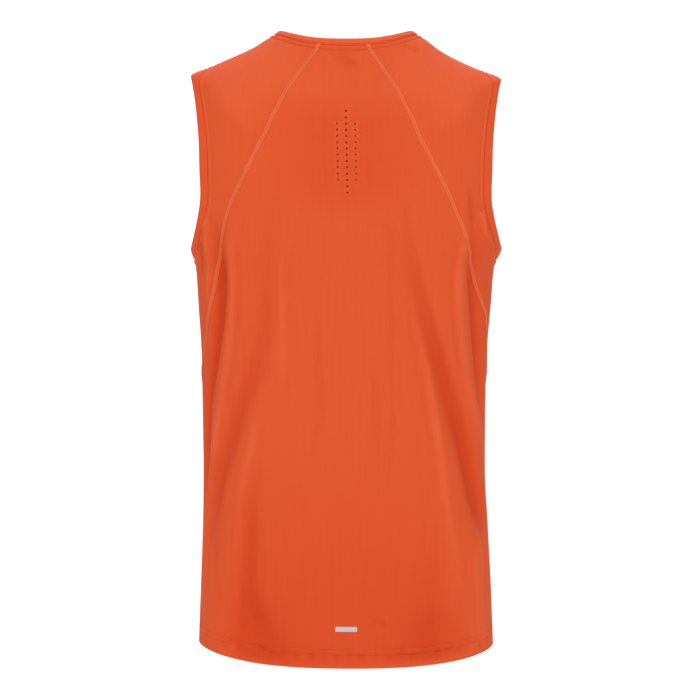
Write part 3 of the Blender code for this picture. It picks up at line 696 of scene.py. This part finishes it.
def jerseyMaterial(name, colours):
    # colours is one colour, or one each for the painted shade in the hollows, plain cloth and the painted
    # highlight on the ridges
    material, tree, shader = newMaterial(name, {
        "Roughness": jersey["roughness"], "IOR": jersey["ior"], "Specular IOR Level": jersey["specular"],
    })
    grain = addGrain(tree)
    wales, courses = addWaves(tree, grain, "X", jersey["wale"]), addWaves(tree, grain, "Y", jersey["course"])
    loops = addNode(tree, "ShaderNodeMath", {"operation": "MULTIPLY", 0: wales, 1: courses}).outputs["Value"]
    stretched = addNode(tree, "ShaderNodeMapping", {
        "Vector": grain, "Scale": (1 / (jersey["streakWidth"] * mm), 1 / (jersey["streakLength"] * mm), 1.0),
    })
    streaks = addNode(tree, "ShaderNodeTexNoise", {
        "noise_dimensions": "2D", "Vector": stretched.outputs["Vector"],
        "Scale": 1.0, "Detail": 2.0, "Roughness": 0.6,
    }).outputs["Fac"]
    strength = addNode(tree, "ShaderNodeMapRange", {
        "Value": streaks, "From Min": jersey["streakFrom"], "From Max": jersey["streakTo"],
    })
    tone = addMix(tree, strength.outputs["Result"], linearColour("#FFFFFF"), linearColour(jersey["streak"]))
    colour = paintedCreaseShading(tree, colours) if isinstance(colours, dict) else linearColour(colours)
    tone = addMix(tree, 1.0, colour, tone, "MULTIPLY")
    ribs = addBump(tree, jersey["bump"], jersey["streakDepth"], streaks)
    linkShader(tree, shader, tone, addBump(tree, jersey["bump"], jersey["stitchDepth"], loops, ribs))
    return material


# Textured polyester sewing thread, dyed to match and quite matt, with the twist of its plies; the neck thread is
# darkened further as painted shade of its ditch
thread = {
    "seam": "#E26D43", "neck": "#A4351A", "hem": "#C44A24",  # paler, darker and nearly as the cloth
    # painted shade between the plies: the thread's colour there is darkened to this share
    "shade": 0.95,  # brightness between the plies
    "roughness": 0.7, "specular": 0.1,
    "twist": 0.8, "twistDepth": 0.04, "bump": 0.4,
}


def threadMaterial(name, colour):
    material, tree, shader = newMaterial(name, {
        "Roughness": thread["roughness"], "Specular IOR Level": thread["specular"],
    })
    twist = addWaves(tree, addGrain(tree), "DIAGONAL", thread["twist"])
    # painted shade between the plies
    dark = [c * thread["shade"] for c in linearColour(colour)[:3]] + [1.0]
    bump = addBump(tree, thread["bump"], thread["twistDepth"], twist)
    linkShader(tree, shader, addMix(tree, twist, dark, linearColour(colour)), bump)
    return material


bodyJersey = jerseyMaterial("polyesterJerseyBody", jersey["body"])
neckbandJersey = jerseyMaterial("polyesterJerseyNeckband", jersey["neckband"])
armholeJersey = jerseyMaterial("polyesterJerseyArmholeBand", jersey["armholeBand"])
seamThread = threadMaterial("polyesterThreadSeam", thread["seam"])
neckThread = threadMaterial("polyesterThreadNeck", thread["neck"])
hemThread = threadMaterial("polyesterThreadHem", thread["hem"])
print("materials made")

cloth = {"over": 0.45, "under": 0.45}  # how far its faces lie from its middle
# The rows and columns that a panel is built from. Pairs are a distance and the pitch of the cells up to it.
cells = {
    "rowPitch": 3.4,
    "ridgeSlant": 0.45, "underarmSlant": 0.6,  # how far the rows slant beside the armhole's corners
    "frontBow": 4.0, "shoulderBow": 2.0,  # how late the rows bend towards the armhole
    "seamEdge": ((0.4, 0.2), (5.8, 0.6), (8.2, 1.2)),  # columns beside a seam
    "backTop": ((0.4, 0.2), (5.2, 0.35), (9.4, 0.75), (19.0, 1.2)),
    "ridgeTop": ((0.4, 0.2), (20.0, 1.0)),
    "hem": ((24.0, 3.4), (11.0, 0.65), (1.2, 1.6), (0.0, 0.2)),  # distances from its edge, downwards
    "back": 58, "front": 56, "shoulder": 28,  # even columns of one half of a panel
    "edgeShare": 0.4,  # the most of a short row that its fine columns take
    "thinnest": 0.08,  # share of its thickness left at a rounded edge
}
hem = {"turnUp": 21.5, "turnUpStep": 1.2, "thick": 0.9, "rows": (14.5, 20.5)}
seamEdge = runs(0.0, *cells["seamEdge"])
rowPitch = cells["rowPitch"]


def spreadAlong(path, even, edge=seamEdge):
    # Places along rows: even cells first, then the fine steps at the far end. path gives places for shares.
    shares = np.linspace(0.0, 1.0, 81)
    points = formPoints(*np.moveaxis(path(shares[None]), -1, 0))
    run = np.cumsum(np.linalg.norm(np.diff(points, axis=1), axis=-1), axis=1)
    run = np.concatenate([np.zeros((len(run), 1)), run], axis=1)
    chosen = []
    for row in run:
        fine = edge * min(1.0, cells["edgeShare"] * row[-1] / edge[-1])
        wanted = np.concatenate([np.linspace(0.0, row[-1] - fine[-1], even + 1)[:-1], row[-1] - fine[::-1]])
        chosen.append(np.interp(wanted, row, shares))
    return path(np.array(chosen))


def between(inner, outer, bow=1.0):
    # Rows from one line of places to another. A bow bends the rows near the outer line.
    def path(shares):
        shares = np.broadcast_to(shares, (len(inner), np.shape(shares)[-1]))
        both = np.stack([shares, shares**bow], axis=-1)
        return inner[:, None] * (1 - both) + outer[:, None] * both

    return path


def hemLevels():
    # Levels of the rows from the end of the raglan seams to the hem
    return runs(raglanEnd, *((hemLevel - fromEdge, pitch) for fromEdge, pitch in cells["hem"]))[1:]


def roundedEdge(fromEdge, half):
    # The share of the thickness left beside a rounded edge
    return np.sqrt(1 - (1 - np.clip(fromEdge / half, 0.0, 1.0)) ** 2).clip(cells["thinnest"])


def hemFaces(places):
    # How far the cloth's faces lie from its middle: doubled inwards at the hem and rounded at its edge
    fromEdge = hemLevel - places[..., 1]
    turned = hem["thick"] * (1 - ease((fromEdge - hem["turnUp"]) / hem["turnUpStep"]))
    middle = -turned / 2
    half = (cloth["over"] + cloth["under"] + turned) / 2
    half = half * roundedEdge(fromEdge, half)
    return middle + half, half - middle


perforation = {
    "top": -95.1, "foot": -185.0,  # heights of the first and the last hole of the middle column
    "count": 14,
    "apart": 9.9,  # between the columns
    "mostShare": 0.35,  # the most of a half panel that this may take, near the neck
    "lean": (0.1, -1.9),  # the middle column's place across at its top and foot
    "firstBeside": 2, "lastBeside": 11,  # rows in which the columns beside it have holes too
    "diameter": {"right": 2.2, "middle": 2.7, "left": 2.5},
}
# The corners round a block of 4 by 4 cells, as rows and columns
blockRim = np.array([corner for side in (
    lambda k: (0, k), lambda k: (k, 4), lambda k: (4, 4 - k), lambda k: (4 - k, 0),
) for corner in map(side, range(4))])


def backPlaces():
    # Rows and columns of the back panel, with a block of 4 by 4 cells about every hole
    table = np.linspace(0.0, raglanEnd, 901)
    heights = formPoints(np.zeros(len(table)), table)[:, 2]
    pitch = (perforation["top"] - perforation["foot"]) / (perforation["count"] - 1)
    wanted = perforation["top"] + pitch / 2 - pitch / 4 * np.arange(4 * perforation["count"] + 1)
    punched = np.interp(-wanted, -heights, table)
    levels = np.concatenate([
        runs(0.0, *cells["backTop"], (punched[0], rowPitch))[:-1], punched,
        runs(punched[-1], (raglanEnd, rowPitch))[1:], hemLevels(),
    ])
    share = np.clip((levels - punched[0]) / (punched[-1] - punched[0]), 0.0, 1.0)
    top, foot = perforation["lean"]
    square = section["square"](levels)
    perDegree = section["left"](levels) * math.radians(1.0) * (1 + 3 * square) / (1 - square)
    middle = (top + (foot - top) * share) / perDegree
    raglans = {side: raglanCurve[side](np.minimum(levels, raglanEnd)) for side in sides}
    ends = {side: signOf(side) * np.where(levels < raglanEnd, raglans[side], 90.0) for side in sides}
    most = perforation["mostShare"] * np.minimum(ends["left"], -ends["right"])
    apart = np.minimum(perforation["apart"] / perDegree, most)
    block = middle[:, None] + apart[:, None] * np.arange(-6, 7) / 4
    halves = {}
    for side, start in (("left", block[:, -1]), ("right", block[:, 0])):
        path = between(pairs(start, levels), pairs(ends[side], levels))
        halves[side] = spreadAlong(path, cells["back"])
    middle = pairs(block, levels[:, None])
    places = np.concatenate([halves["right"][:, :0:-1], middle, halves["left"][:, 1:]], axis=1)
    firstRow = int(np.argmin(np.abs(levels - punched[0])))
    return places, firstRow, halves["right"].shape[1] - 1


def perforations(places, firstRow, firstColumn):
    # The block of cells, the rim's points and their directions for each hole
    turn = np.arctan2(blockRim[:, 0] - 2.0, blockRim[:, 1] - 2.0)
    holes = []
    for row in range(perforation["count"]):
        beside = perforation["firstBeside"] <= row <= perforation["lastBeside"]
        for column, (where, diameter) in enumerate(perforation["diameter"].items()):
            if where != "middle" and not beside:
                continue
            r, c = firstRow + 4 * row, firstColumn + 4 * column
            centre, radius = places[r + 2, c + 2], diameter / 2
            slopeAcross, slopeDown = (np.linalg.norm(s) for s in clothSlopes(centre))
            rim = centre + pairs(radius * np.cos(turn) / slopeAcross, radius * np.sin(turn) / slopeDown)
            points, outward = sewnPoints(rim, ("neck",))
            holes.append({
                "rows": slice(r, r + 4), "columns": slice(c, c + 4),
                "points": points, "outward": outward, "grain": grainOf(rim),
            })
    return holes


def panel(name, node, places, holes=()):
    # One panel of jersey with its seams and its hem
    middle, outward = sewnPoints(places)
    over, under = hemFaces(places)
    piece = shell(name, middle, outward, over, under, grainOf(places), bodyJersey, holes=holes)
    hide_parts(node)
    return piece


def makeBackPanel():
    places, firstRow, firstColumn = backPlaces()
    return panel("backPanel", "back_panel", places, holes=perforations(places, firstRow, firstColumn))


def edgeRows(side, toBack):
    # Places down a panel's outer edge, and the levels of the rows' other ends
    half = armholeLine(side, toBack, 1, armhole["panelSteps"])
    top, foot = half[0, 1], half[-1, 1]
    ridge = runs(0.0, *cells["ridgeTop"], (top, rowPitch))[:-1]
    seam = runs(foot, (raglanEnd, rowPitch))[1:]
    upper, lower = cells["ridgeSlant"] * top, foot + cells["underarmSlant"] * (raglanEnd - foot)
    around = signOf(side) * 90.0
    outer = np.concatenate([pairs(around, ridge), half, pairs(around, seam)])
    inner = np.concatenate([
        ridge * cells["ridgeSlant"], np.linspace(upper, lower, len(half)),
        raglanEnd - (raglanEnd - seam) * (raglanEnd - lower) / (raglanEnd - foot),
    ])
    return outer, inner


def makeFrontPanel():
    halves = []
    for side in sides:
        outer, levels = edgeRows(side, False)
        outer = outer + ([360.0, 0.0] if side == "right" else [0.0, 0.0])
        upper = spreadAlong(between(pairs(180.0, levels), outer, cells["frontBow"]), cells["front"])
        levels = hemLevels()
        lower = spreadAlong(between(pairs(180.0, levels), pairs(outer[-1, 0], levels)), cells["front"])
        halves.append(np.concatenate([upper, lower]))
    left, right = halves
    return panel("frontPanel", "front_panel", np.concatenate([left[:, ::-1], right[:, 1:]], axis=1))


def makeShoulderPanel(side):
    # From the raglan seam to the ridge, the armhole and the side seam, both sides with fine columns
    outer, levels = edgeRows(side, True)
    inner = pairs(signOf(side) * raglanCurve[side](levels), levels)
    path = between(inner[:-1], outer[:-1], cells["shoulderBow"])
    toRaglan = spreadAlong(lambda shares: path(0.5 - 0.5 * shares), cells["shoulder"])
    toArmhole = spreadAlong(lambda shares: path(0.5 + 0.5 * shares), cells["shoulder"])
    places = np.concatenate([toRaglan[:, ::-1], toArmhole[:, 1:]], axis=1)
    return panel("shoulderPanel" + side.capitalize(), "shoulder_panel_" + side, places)


band = {
    "half": 0.95, "seamHalf": 0.5, "fullAt": 1.6,  # half thicknesses, and how far from the seam it is full
    "ditch": 0.45, "ditchWidth": 0.9, "swell": 0.35,
    # rows across, as shares of the width: up to a share at this pitch beside the seam, between, and at the edge
    "armholeSeam": (0.12, 0.03), "neckSeam": (0.14, 0.035), "middle": (0.9, 0.1),
    "edge": (0.93, 0.955, 0.975, 0.99, 1.0),
    "armholeWidth": 10.0,
}


def bandFaces(fromSeam, fromEdge):
    # Thin where it is sewn in, full between, and folded round at its own edge
    half = band["seamHalf"] + (band["half"] - band["seamHalf"]) * ease(fromSeam / band["fullAt"])
    return half * roundedEdge(fromEdge, band["half"])


def bandShape(fromSeam, width):
    # A ditch at the seam and a slight swell between it and the edge
    swell = band["swell"] * np.sin(np.pi * np.clip(fromSeam / width, 0.0, 1.0))
    return -band["ditch"] * fifth(fromSeam, band["ditchWidth"]) + swell


def bandShares(seamRows):
    return np.concatenate([runs(0.0, seamRows, band["middle"]), band["edge"]])


def makeBand(name, node, points, outward, shares, seam, material):
    # A folded band all round, from points along and across it. Its grain is measured along its seam.
    width = np.linalg.norm(points[:, -1] - points[:, 0], axis=-1)[:, None]
    middle = points + outward * bandShape(shares * width, width)[..., None]
    faces = bandFaces(shares * width, (1 - shares) * width)
    along = runAlong(seam)
    grain = pairs(np.append(along, along[-1] + along[1])[:, None], shares * width.mean())
    piece = shell(name, middle, outward, faces, faces, grain, material, closed=True)
    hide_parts(node)
    return piece


def armholeLoop(side, margin):
    # All round an armhole: down its back and up its front
    back, front = (armholeLine(side, toBack, margin, armhole["bandSteps"]) for toBack in (True, False))
    return np.concatenate([back, front[-2::-1]])


def makeArmholeBand(side):
    seam, edge = (armholeLoop(side, margin)[:-1] for margin in (1, 0))
    shares = bandShares(band["armholeSeam"])
    places = between(seam, edge)(shares)
    points, outward, name = clothPoints(places), clothNormals(places), "armholeBand" + side.capitalize()
    return makeBand(name, "armhole_band_" + side, points, outward, shares, clothPoints(seam), armholeJersey)


# The neckband's own edge: half width and height at the side, then named as in the form
neckband = {
    "wide": 74.8, "side": 4.8, "deepBack": 62.0, "back": -11.7, "flatBack": 2.5,
    "deepFront": 68.5, "front": -74.0, "flatFront": 3.0,
    "rise": 0.5,  # share of its width in which it follows the slope of the panels
    "slopeFrom": 4.0,  # level from which that slope is taken
    "steps": 300,
}


def neckbandPoints(around, share):
    # The band's middle, from its seam at share 0 to its edge at share 1
    angle = np.radians(around)
    sine, cosine = np.sin(angle), np.cos(angle)
    deep = np.where(cosine >= 0, neckband["deepBack"], neckband["deepFront"])
    centre = np.where(cosine >= 0, neckband["back"], neckband["front"])
    rise = np.abs(sine) ** np.where(cosine >= 0, neckband["flatBack"], neckband["flatFront"])
    height = centre + (neckband["side"] - centre) * rise
    top = np.stack([neckband["wide"] * sine, deep * cosine, height], axis=-1)
    seam = formPoints(around, 0.0)
    width = np.linalg.norm(top - seam, axis=-1, keepdims=True)
    bend = seam + unit(seam - formPoints(around, neckband["slopeFrom"])) * width * neckband["rise"]
    return seam * (1 - share) ** 2 + 2 * bend * share * (1 - share) + top * share**2


def neckbandNormals(around, share):
    along = neckbandPoints(around + 0.5, share) - neckbandPoints(around - 0.5, share)
    down = neckbandPoints(around, share - 0.01) - neckbandPoints(around, share + 0.01)
    return unit(np.cross(along, down))


def makeNeckband():
    around = np.arange(neckband["steps"]) * 360.0 / neckband["steps"]
    shares = bandShares(band["neckSeam"])
    points, outward = (
        np.stack([at(around, share) for share in shares], axis=1) for at in (neckbandPoints, neckbandNormals)
    )
    seam = points[:, 0] + outward[:, 0] * bandShape(0.0, 1.0)
    return makeBand("neckbandFold", "neckband", points, outward, shares, seam, neckbandJersey)


pieces = {"back": makeBackPanel(), "front": makeFrontPanel(), "neck": makeNeckband()}
for side in sides:
    pieces["shoulder", side] = makeShoulderPanel(side)
    pieces["band", side] = makeArmholeBand(side)
print("panels and bands sewn")

stitch = {
    "pitch": 3.0, "fill": 0.82, "radius": 0.28,
    "sideCount": 6,  # the end caps are made for six
    "rise": 0.6, "dip": 1.9, "taper": 0.5,  # its middle above the cloth, its ends below that, and their thinning
    "zigzagPitch": 1.8, "zigzagSteps": 8,  # length and steps of one turn of a cover thread
    "zigzagFlat": 1.6,  # how long it stays in each needle row
    "weave": 0.12, "coverOver": 0.05,  # its way over and under its twin, and its height above the needle rows
    "raglanHalfWidth": 1.85,
    "neckRow": 6.6, "armholeRow": 5.0, "onBand": 1.5,  # distances of the rows from the bands' seams
    "bandOver": 0.8,
}


def threadTubes(name, centres, outward, radius, material):
    # Tubes of thread: count by rings by three, with the radius at each ring
    count, rings = centres.shape[:2]
    turn = np.arange(stitch["sideCount"]) * 2 * math.pi / stitch["sideCount"]
    along = unit(np.gradient(centres, axis=1))
    aside = unit(np.cross(along, outward))
    up = np.cross(aside, along)
    ring = np.cos(turn)[:, None] * aside[:, :, None] + np.sin(turn)[:, None] * up[:, :, None]
    points = centres[:, :, None] + ring * np.broadcast_to(radius, (count, rings))[..., None, None]
    number = np.arange(points[..., 0].size).reshape(count, rings, -1)
    loop = np.concatenate([number, number[:, :, :1]], axis=2)
    faces = np.stack([loop[:, :-1, :-1], loop[:, 1:, :-1], loop[:, 1:, 1:], loop[:, :-1, 1:]], axis=-1)
    first, last = number[:, 0], number[:, -1]
    caps = [end[:, corners] for end, corners in (
        (first, [3, 2, 1, 0]), (first, [5, 4, 3, 0]), (last, [0, 1, 2, 3]), (last, [0, 3, 4, 5]),
    )]
    faces = np.concatenate([faces.reshape(-1, 4), *caps])
    run = np.arange(rings) * (stitch["pitch"] / (rings - 1) if count > 1 else 0.5)
    grain = np.broadcast_to(pairs(run[:, None], turn / 5), (count, rings, len(turn), 2)).reshape(-1, 2)
    points = points.reshape(-1, 3)
    away = points[faces[0]].mean(axis=0) - (centres[0, 0] + centres[0, 1]) / 2
    piece = makeMesh(name, points, faces, grain[faces], away, material, angle=180.0)
    return piece


def alongLine(points, outward, at):
    # Points and directions at distances along a line
    run = runAlong(points)
    centres, normals = (
        np.stack([np.interp(at, run, values[:, k]) for k in range(3)], axis=-1) for values in (points, outward)
    )
    return centres, unit(normals)


def stitchRow(points, outward, height):
    # Short arcs of thread that dip into the cloth at both ends
    length = runAlong(points)[-1]
    count = round(length / stitch["pitch"])
    shares = np.linspace(-0.5, 0.5, 5)
    at = (np.arange(count)[:, None] + 0.5 + stitch["fill"] * shares) * length / count
    centres, normals = alongLine(points, outward, at)
    lift = height + stitch["radius"] * (stitch["rise"] - stitch["dip"] * (2 * shares) ** 2)
    radius = stitch["radius"] * (1 - stitch["taper"] * (2 * shares) ** 4)
    return centres + normals * lift[:, None], normals, radius


def stitchRows(name, lines, height, material):
    rows = [stitchRow(points, outward, height) for points, outward in lines]
    centres, normals = (np.concatenate([row[k] for row in rows]) for k in (0, 1))
    return threadTubes(name, centres, normals, rows[0][2], material)


def coverThread(name, points, outward, height, phase):
    # A thread that crosses from one needle row to the other and back, over and under its twin
    length = runAlong(points)[-1]
    turns = round(length / stitch["zigzagPitch"])
    at = np.linspace(0.0, length, stitch["zigzagSteps"] * turns + 1)
    centres, normals = alongLine(points, outward, at)
    turn = at / length * turns * 2 * math.pi + phase
    aside = unit(np.cross(unit(np.gradient(centres, axis=0)), normals))
    flat = stitch["zigzagFlat"]
    swing = stitch["raglanHalfWidth"] * np.tanh(flat * np.sin(turn)) / math.tanh(flat)
    centres = centres + aside * swing[:, None] + normals * (height + stitch["weave"] * np.cos(turn))[:, None]
    return threadTubes(name, centres[None], normals[None], stitch["radius"], seamThread)


def makeRaglanSeam(side):
    line, half = seamLine["raglan", side][:-4], stitch["raglanHalfWidth"]
    middle, outward = sewnPoints(line)
    rows = [sewnPoints(besideLine(line, aside)) for aside in (-half, half)]
    made = [stitchRows("raglanNeedleRows" + side.capitalize(), rows, cloth["over"], seamThread)]
    for part, phase in (("A", 0.0), ("B", math.pi)):
        name = "raglanCoverThread" + part + side.capitalize()
        made.append(coverThread(name, middle, outward, cloth["over"] + stitch["coverOver"], phase))
    return made


def makeNeckStitching():
    panelRow = sewnPoints(besideLine(seamLine["neck", "all"], stitch["neckRow"]))
    around = seamLine["neck", "all"][:, 0]
    width = np.linalg.norm(neckbandPoints(around, 1.0) - neckbandPoints(around, 0.0), axis=-1)[:, None]
    share = stitch["onBand"] / width
    points, outward = neckbandPoints(around, share), neckbandNormals(around, share)
    points = points + outward * bandShape(share * width, width)
    return [
        stitchRows("neckStitchingPanel", [panelRow], cloth["over"], neckThread),
        stitchRows("neckStitchingBand", [(points, outward)], stitch["bandOver"], neckThread),
    ]


def makeArmholeStitching(side):
    loop = armholeLoop(side, 1)
    row = besideLine(loop, signOf(side) * stitch["armholeRow"])
    onBand = besideLine(loop, -signOf(side) * stitch["onBand"])
    outward = clothNormals(onBand)
    points = clothPoints(onBand) + outward * bandShape(stitch["onBand"], band["armholeWidth"])
    end = side.capitalize()
    return [
        stitchRows("armholeStitchingPanel" + end, [sewnPoints(row)], cloth["over"], seamThread),
        stitchRows("armholeStitchingBand" + end, [(points, outward)], stitch["bandOver"], hemThread),
    ]


def makeHemStitching():
    rows = [sewnPoints(besideLine(seamLine["hem", "all"], -height)) for height in hem["rows"]]
    return [stitchRows("hemStitching", rows, cloth["over"], hemThread)]


threads = {"neck": makeNeckStitching(), "hem": makeHemStitching()}
for side in sides:
    threads["raglan", side] = makeRaglanSeam(side)
    threads["armhole", side] = makeArmholeStitching(side)
print("seams stitched")

# A reflective bar pressed on above the hem: glass beads in a silver-grey film
bar = {
    "around": -0.1, "height": -656.8, "width": 24.0, "tall": 5.0, "corner": 1.2, "thick": 0.12, "gap": 0.05,
    "colour": "#B9BBBC", "dim": "#A4A7A9", "roughness": 0.42, "metallic": 0.35,
    "beads": 0.9,  # the real glass beads are 0.05 mm, too fine to show, so their clusters are drawn this wide
    "beadDepth": 0.03, "bump": 0.3,
}


def beadFilmMaterial():
    material, tree, shader = newMaterial("glassBeadFilm", {
        "Roughness": bar["roughness"], "Metallic": bar["metallic"],
    })
    beads = addNode(tree, "ShaderNodeTexVoronoi", {
        "Vector": addGrain(tree), "Scale": 1 / (bar["beads"] * mm),
    }).outputs["Distance"]
    tone = addMix(tree, beads, linearColour(bar["colour"]), linearColour(bar["dim"]))
    linkShader(tree, shader, tone, addBump(tree, bar["bump"], bar["beadDepth"], beads))
    return material


def makeReflectiveBar():
    # A round-cornered strip that lies on the cloth
    across, up = np.linspace(-0.5, 0.5, 49) * bar["width"], np.linspace(-0.5, 0.5, 9)
    intoCorner = np.clip(np.abs(across) - bar["width"] / 2 + bar["corner"], 0.0, bar["corner"])
    inset = bar["corner"] - np.sqrt(bar["corner"] ** 2 - intoCorner**2)
    rise = up[:, None] * (bar["tall"] - 2 * inset)
    around, level = placeAt(bar["around"], bar["height"])
    perDegree = np.linalg.norm(formPoints(around + 0.5, level) - formPoints(around - 0.5, level))
    middle, outward = sewnPoints(pairs(around + across / perDegree, level - rise))
    over, under = cloth["over"] + bar["thick"], bar["gap"] - cloth["over"]
    return shell("reflectiveBar", middle, outward, over, under, pairs(across, rise), beadFilmMaterial())


pieces["bar"] = makeReflectiveBar()

# The cut of what shows of each piece: width and length of the cloth it comes from, and its area
cut = {
    "back": {"flat": (0.463, 0.73), "area": 0.229},
    "front": {"flat": (0.532, 0.72), "area": 0.279},
    ("shoulder", "left"): {"flat": (0.138, 0.527), "area": 0.0289},
    ("shoulder", "right"): {"flat": (0.144, 0.525), "area": 0.0301},
    ("band", "left"): {"flat": (0.014, 0.61), "area": 0.0081},
    ("band", "right"): {"flat": (0.014, 0.61), "area": 0.0081},
    "neck": {"flat": (0.0105, 0.522), "area": 0.0048},
}
sewnOn = {"back": [*threads["hem"], *threads["neck"], pieces["bar"]]}
for side in sides:
    sewnOn["shoulder", side] = threads["raglan", side] + threads["armhole", side][:1]
    sewnOn["band", side] = threads["armhole", side][1:]
for name, size in cut.items():
    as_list(sewnOn.get(name, []))

studio = {
    "floor": -0.85, "flat": (1.2, 2.4), "radius": 3.9, "curve": 1.2, "wall": 1.8,  # metres
    "colour": "#FFFFFF", "roughness": 0.95, "specular": 0.1,
    "glow": 0.03,  # keeps the bend of the backdrop white
    "world": 0.45,
    "lights": ((165, 42), (195, 42), (15, 42), (345, 42)),  # degrees around and above
    "lightStrength": 0.68, "lightSize": 30.0,
    # a soft panel above the back, one above the front
    "overhead": {"reach": 1.1, "height": 1.6, "size": 1.2, "power": 11.0, "aim": (0.0, 0.0, -0.15)},
}


def makeStage():
    # A pale floor that curves up into a wall all round
    turns, radius, curve = 96, studio["radius"], studio["curve"]
    bends = np.linspace(0.0, math.pi / 2, 13)
    rings = [(reach, 0.0) for reach in studio["flat"]]
    rings += [(radius + curve * math.sin(bend), curve * (1 - math.cos(bend))) for bend in bends]
    rings += [(radius + curve, studio["wall"])]
    reach, height = np.array(rings).T[..., None]
    angle = np.arange(turns) * 2 * math.pi / turns
    axes = np.broadcast_arrays(reach * np.cos(angle), reach * np.sin(angle), height + studio["floor"])
    points = np.concatenate([np.stack(axes, axis=-1).reshape(-1, 3), [[0.0, 0.0, studio["floor"]]]])
    number = np.arange(len(rings) * turns).reshape(len(rings), turns)
    loop = np.concatenate([number, number[:, :1]], axis=1)
    faces = quads(loop).tolist()
    faces += [(len(points) - 1, int(loop[0, k]), int(loop[0, k + 1])) for k in range(turns)]
    mesh = bpy.data.meshes.new("studioFloor")
    mesh.from_pydata(points.tolist(), [], faces)
    mesh.shade_smooth()
    # seamless paper: pale, quite without gloss
    material = newMaterial("mattePaperBackdrop", {
        "Base Color": linearColour(studio["colour"]), "Roughness": studio["roughness"],
        "Specular IOR Level": studio["specular"],
        "Emission Color": linearColour(studio["colour"]), "Emission Strength": studio["glow"],
    })[0]
    mesh.materials.append(material)
    floor = bpy.data.objects.new("studioFloor", mesh)
    bpy.context.scene.collection.objects.link(floor)


def addAimed(name, data, location, target):
    # A light or a camera that looks at a point
    thing = bpy.data.objects.new(name, data)
    thing.location = location
    thing.rotation_euler = (Vector(target) - thing.location).to_track_quat("-Z", "Y").to_euler()
    bpy.context.scene.collection.objects.link(thing)
    return thing


def makeLights():
    world = bpy.data.worlds.new("studioWorld")
    bpy.context.scene.world = world
    world.use_nodes = True
    background = world.node_tree.nodes["Background"]
    background.inputs["Color"].default_value = (1.0, 1.0, 1.0, 1.0)
    background.inputs["Strength"].default_value = studio["world"]
    for number, (azimuth, height) in enumerate(studio["lights"]):
        lamp = bpy.data.lights.new("softLight" + str(number + 1), "SUN")
        lamp.energy, lamp.angle = studio["lightStrength"], math.radians(studio["lightSize"])
        around, above = math.radians(azimuth), math.radians(height)
        away = 2 * math.cos(above)
        spot = (away * math.sin(around), -away * math.cos(around), 2 * math.sin(above))
        addAimed(lamp.name, lamp, spot, (0.0, 0.0, 0.0))
    overhead = studio["overhead"]
    for name, reach in (("backPanelLight", overhead["reach"]), ("frontPanelLight", -overhead["reach"])):
        lamp = bpy.data.lights.new(name, "AREA")
        lamp.shape, lamp.size, lamp.energy = "DISK", overhead["size"], overhead["power"]
        addAimed(name, lamp, (0.0, reach, overhead["height"]), overhead["aim"])


camera = {"place": (-0.0045, 2.5, -0.355), "fieldWidth": 0.7917, "sensor": 36.0}


def makeCamera():
    lens = bpy.data.cameras.new("camera")
    lens.sensor_width = camera["sensor"]
    x, distance, z = camera["place"]
    lens.lens = camera["sensor"] * distance / camera["fieldWidth"]
    bpy.context.scene.camera = addAimed("camera", lens, camera["place"], (x, 0.0, z))


makeStage()
makeLights()
makeCamera()
bpy.context.scene.view_settings.view_transform = "Standard"
bpy.context.scene.view_settings.look = "None"
print("studio lit")
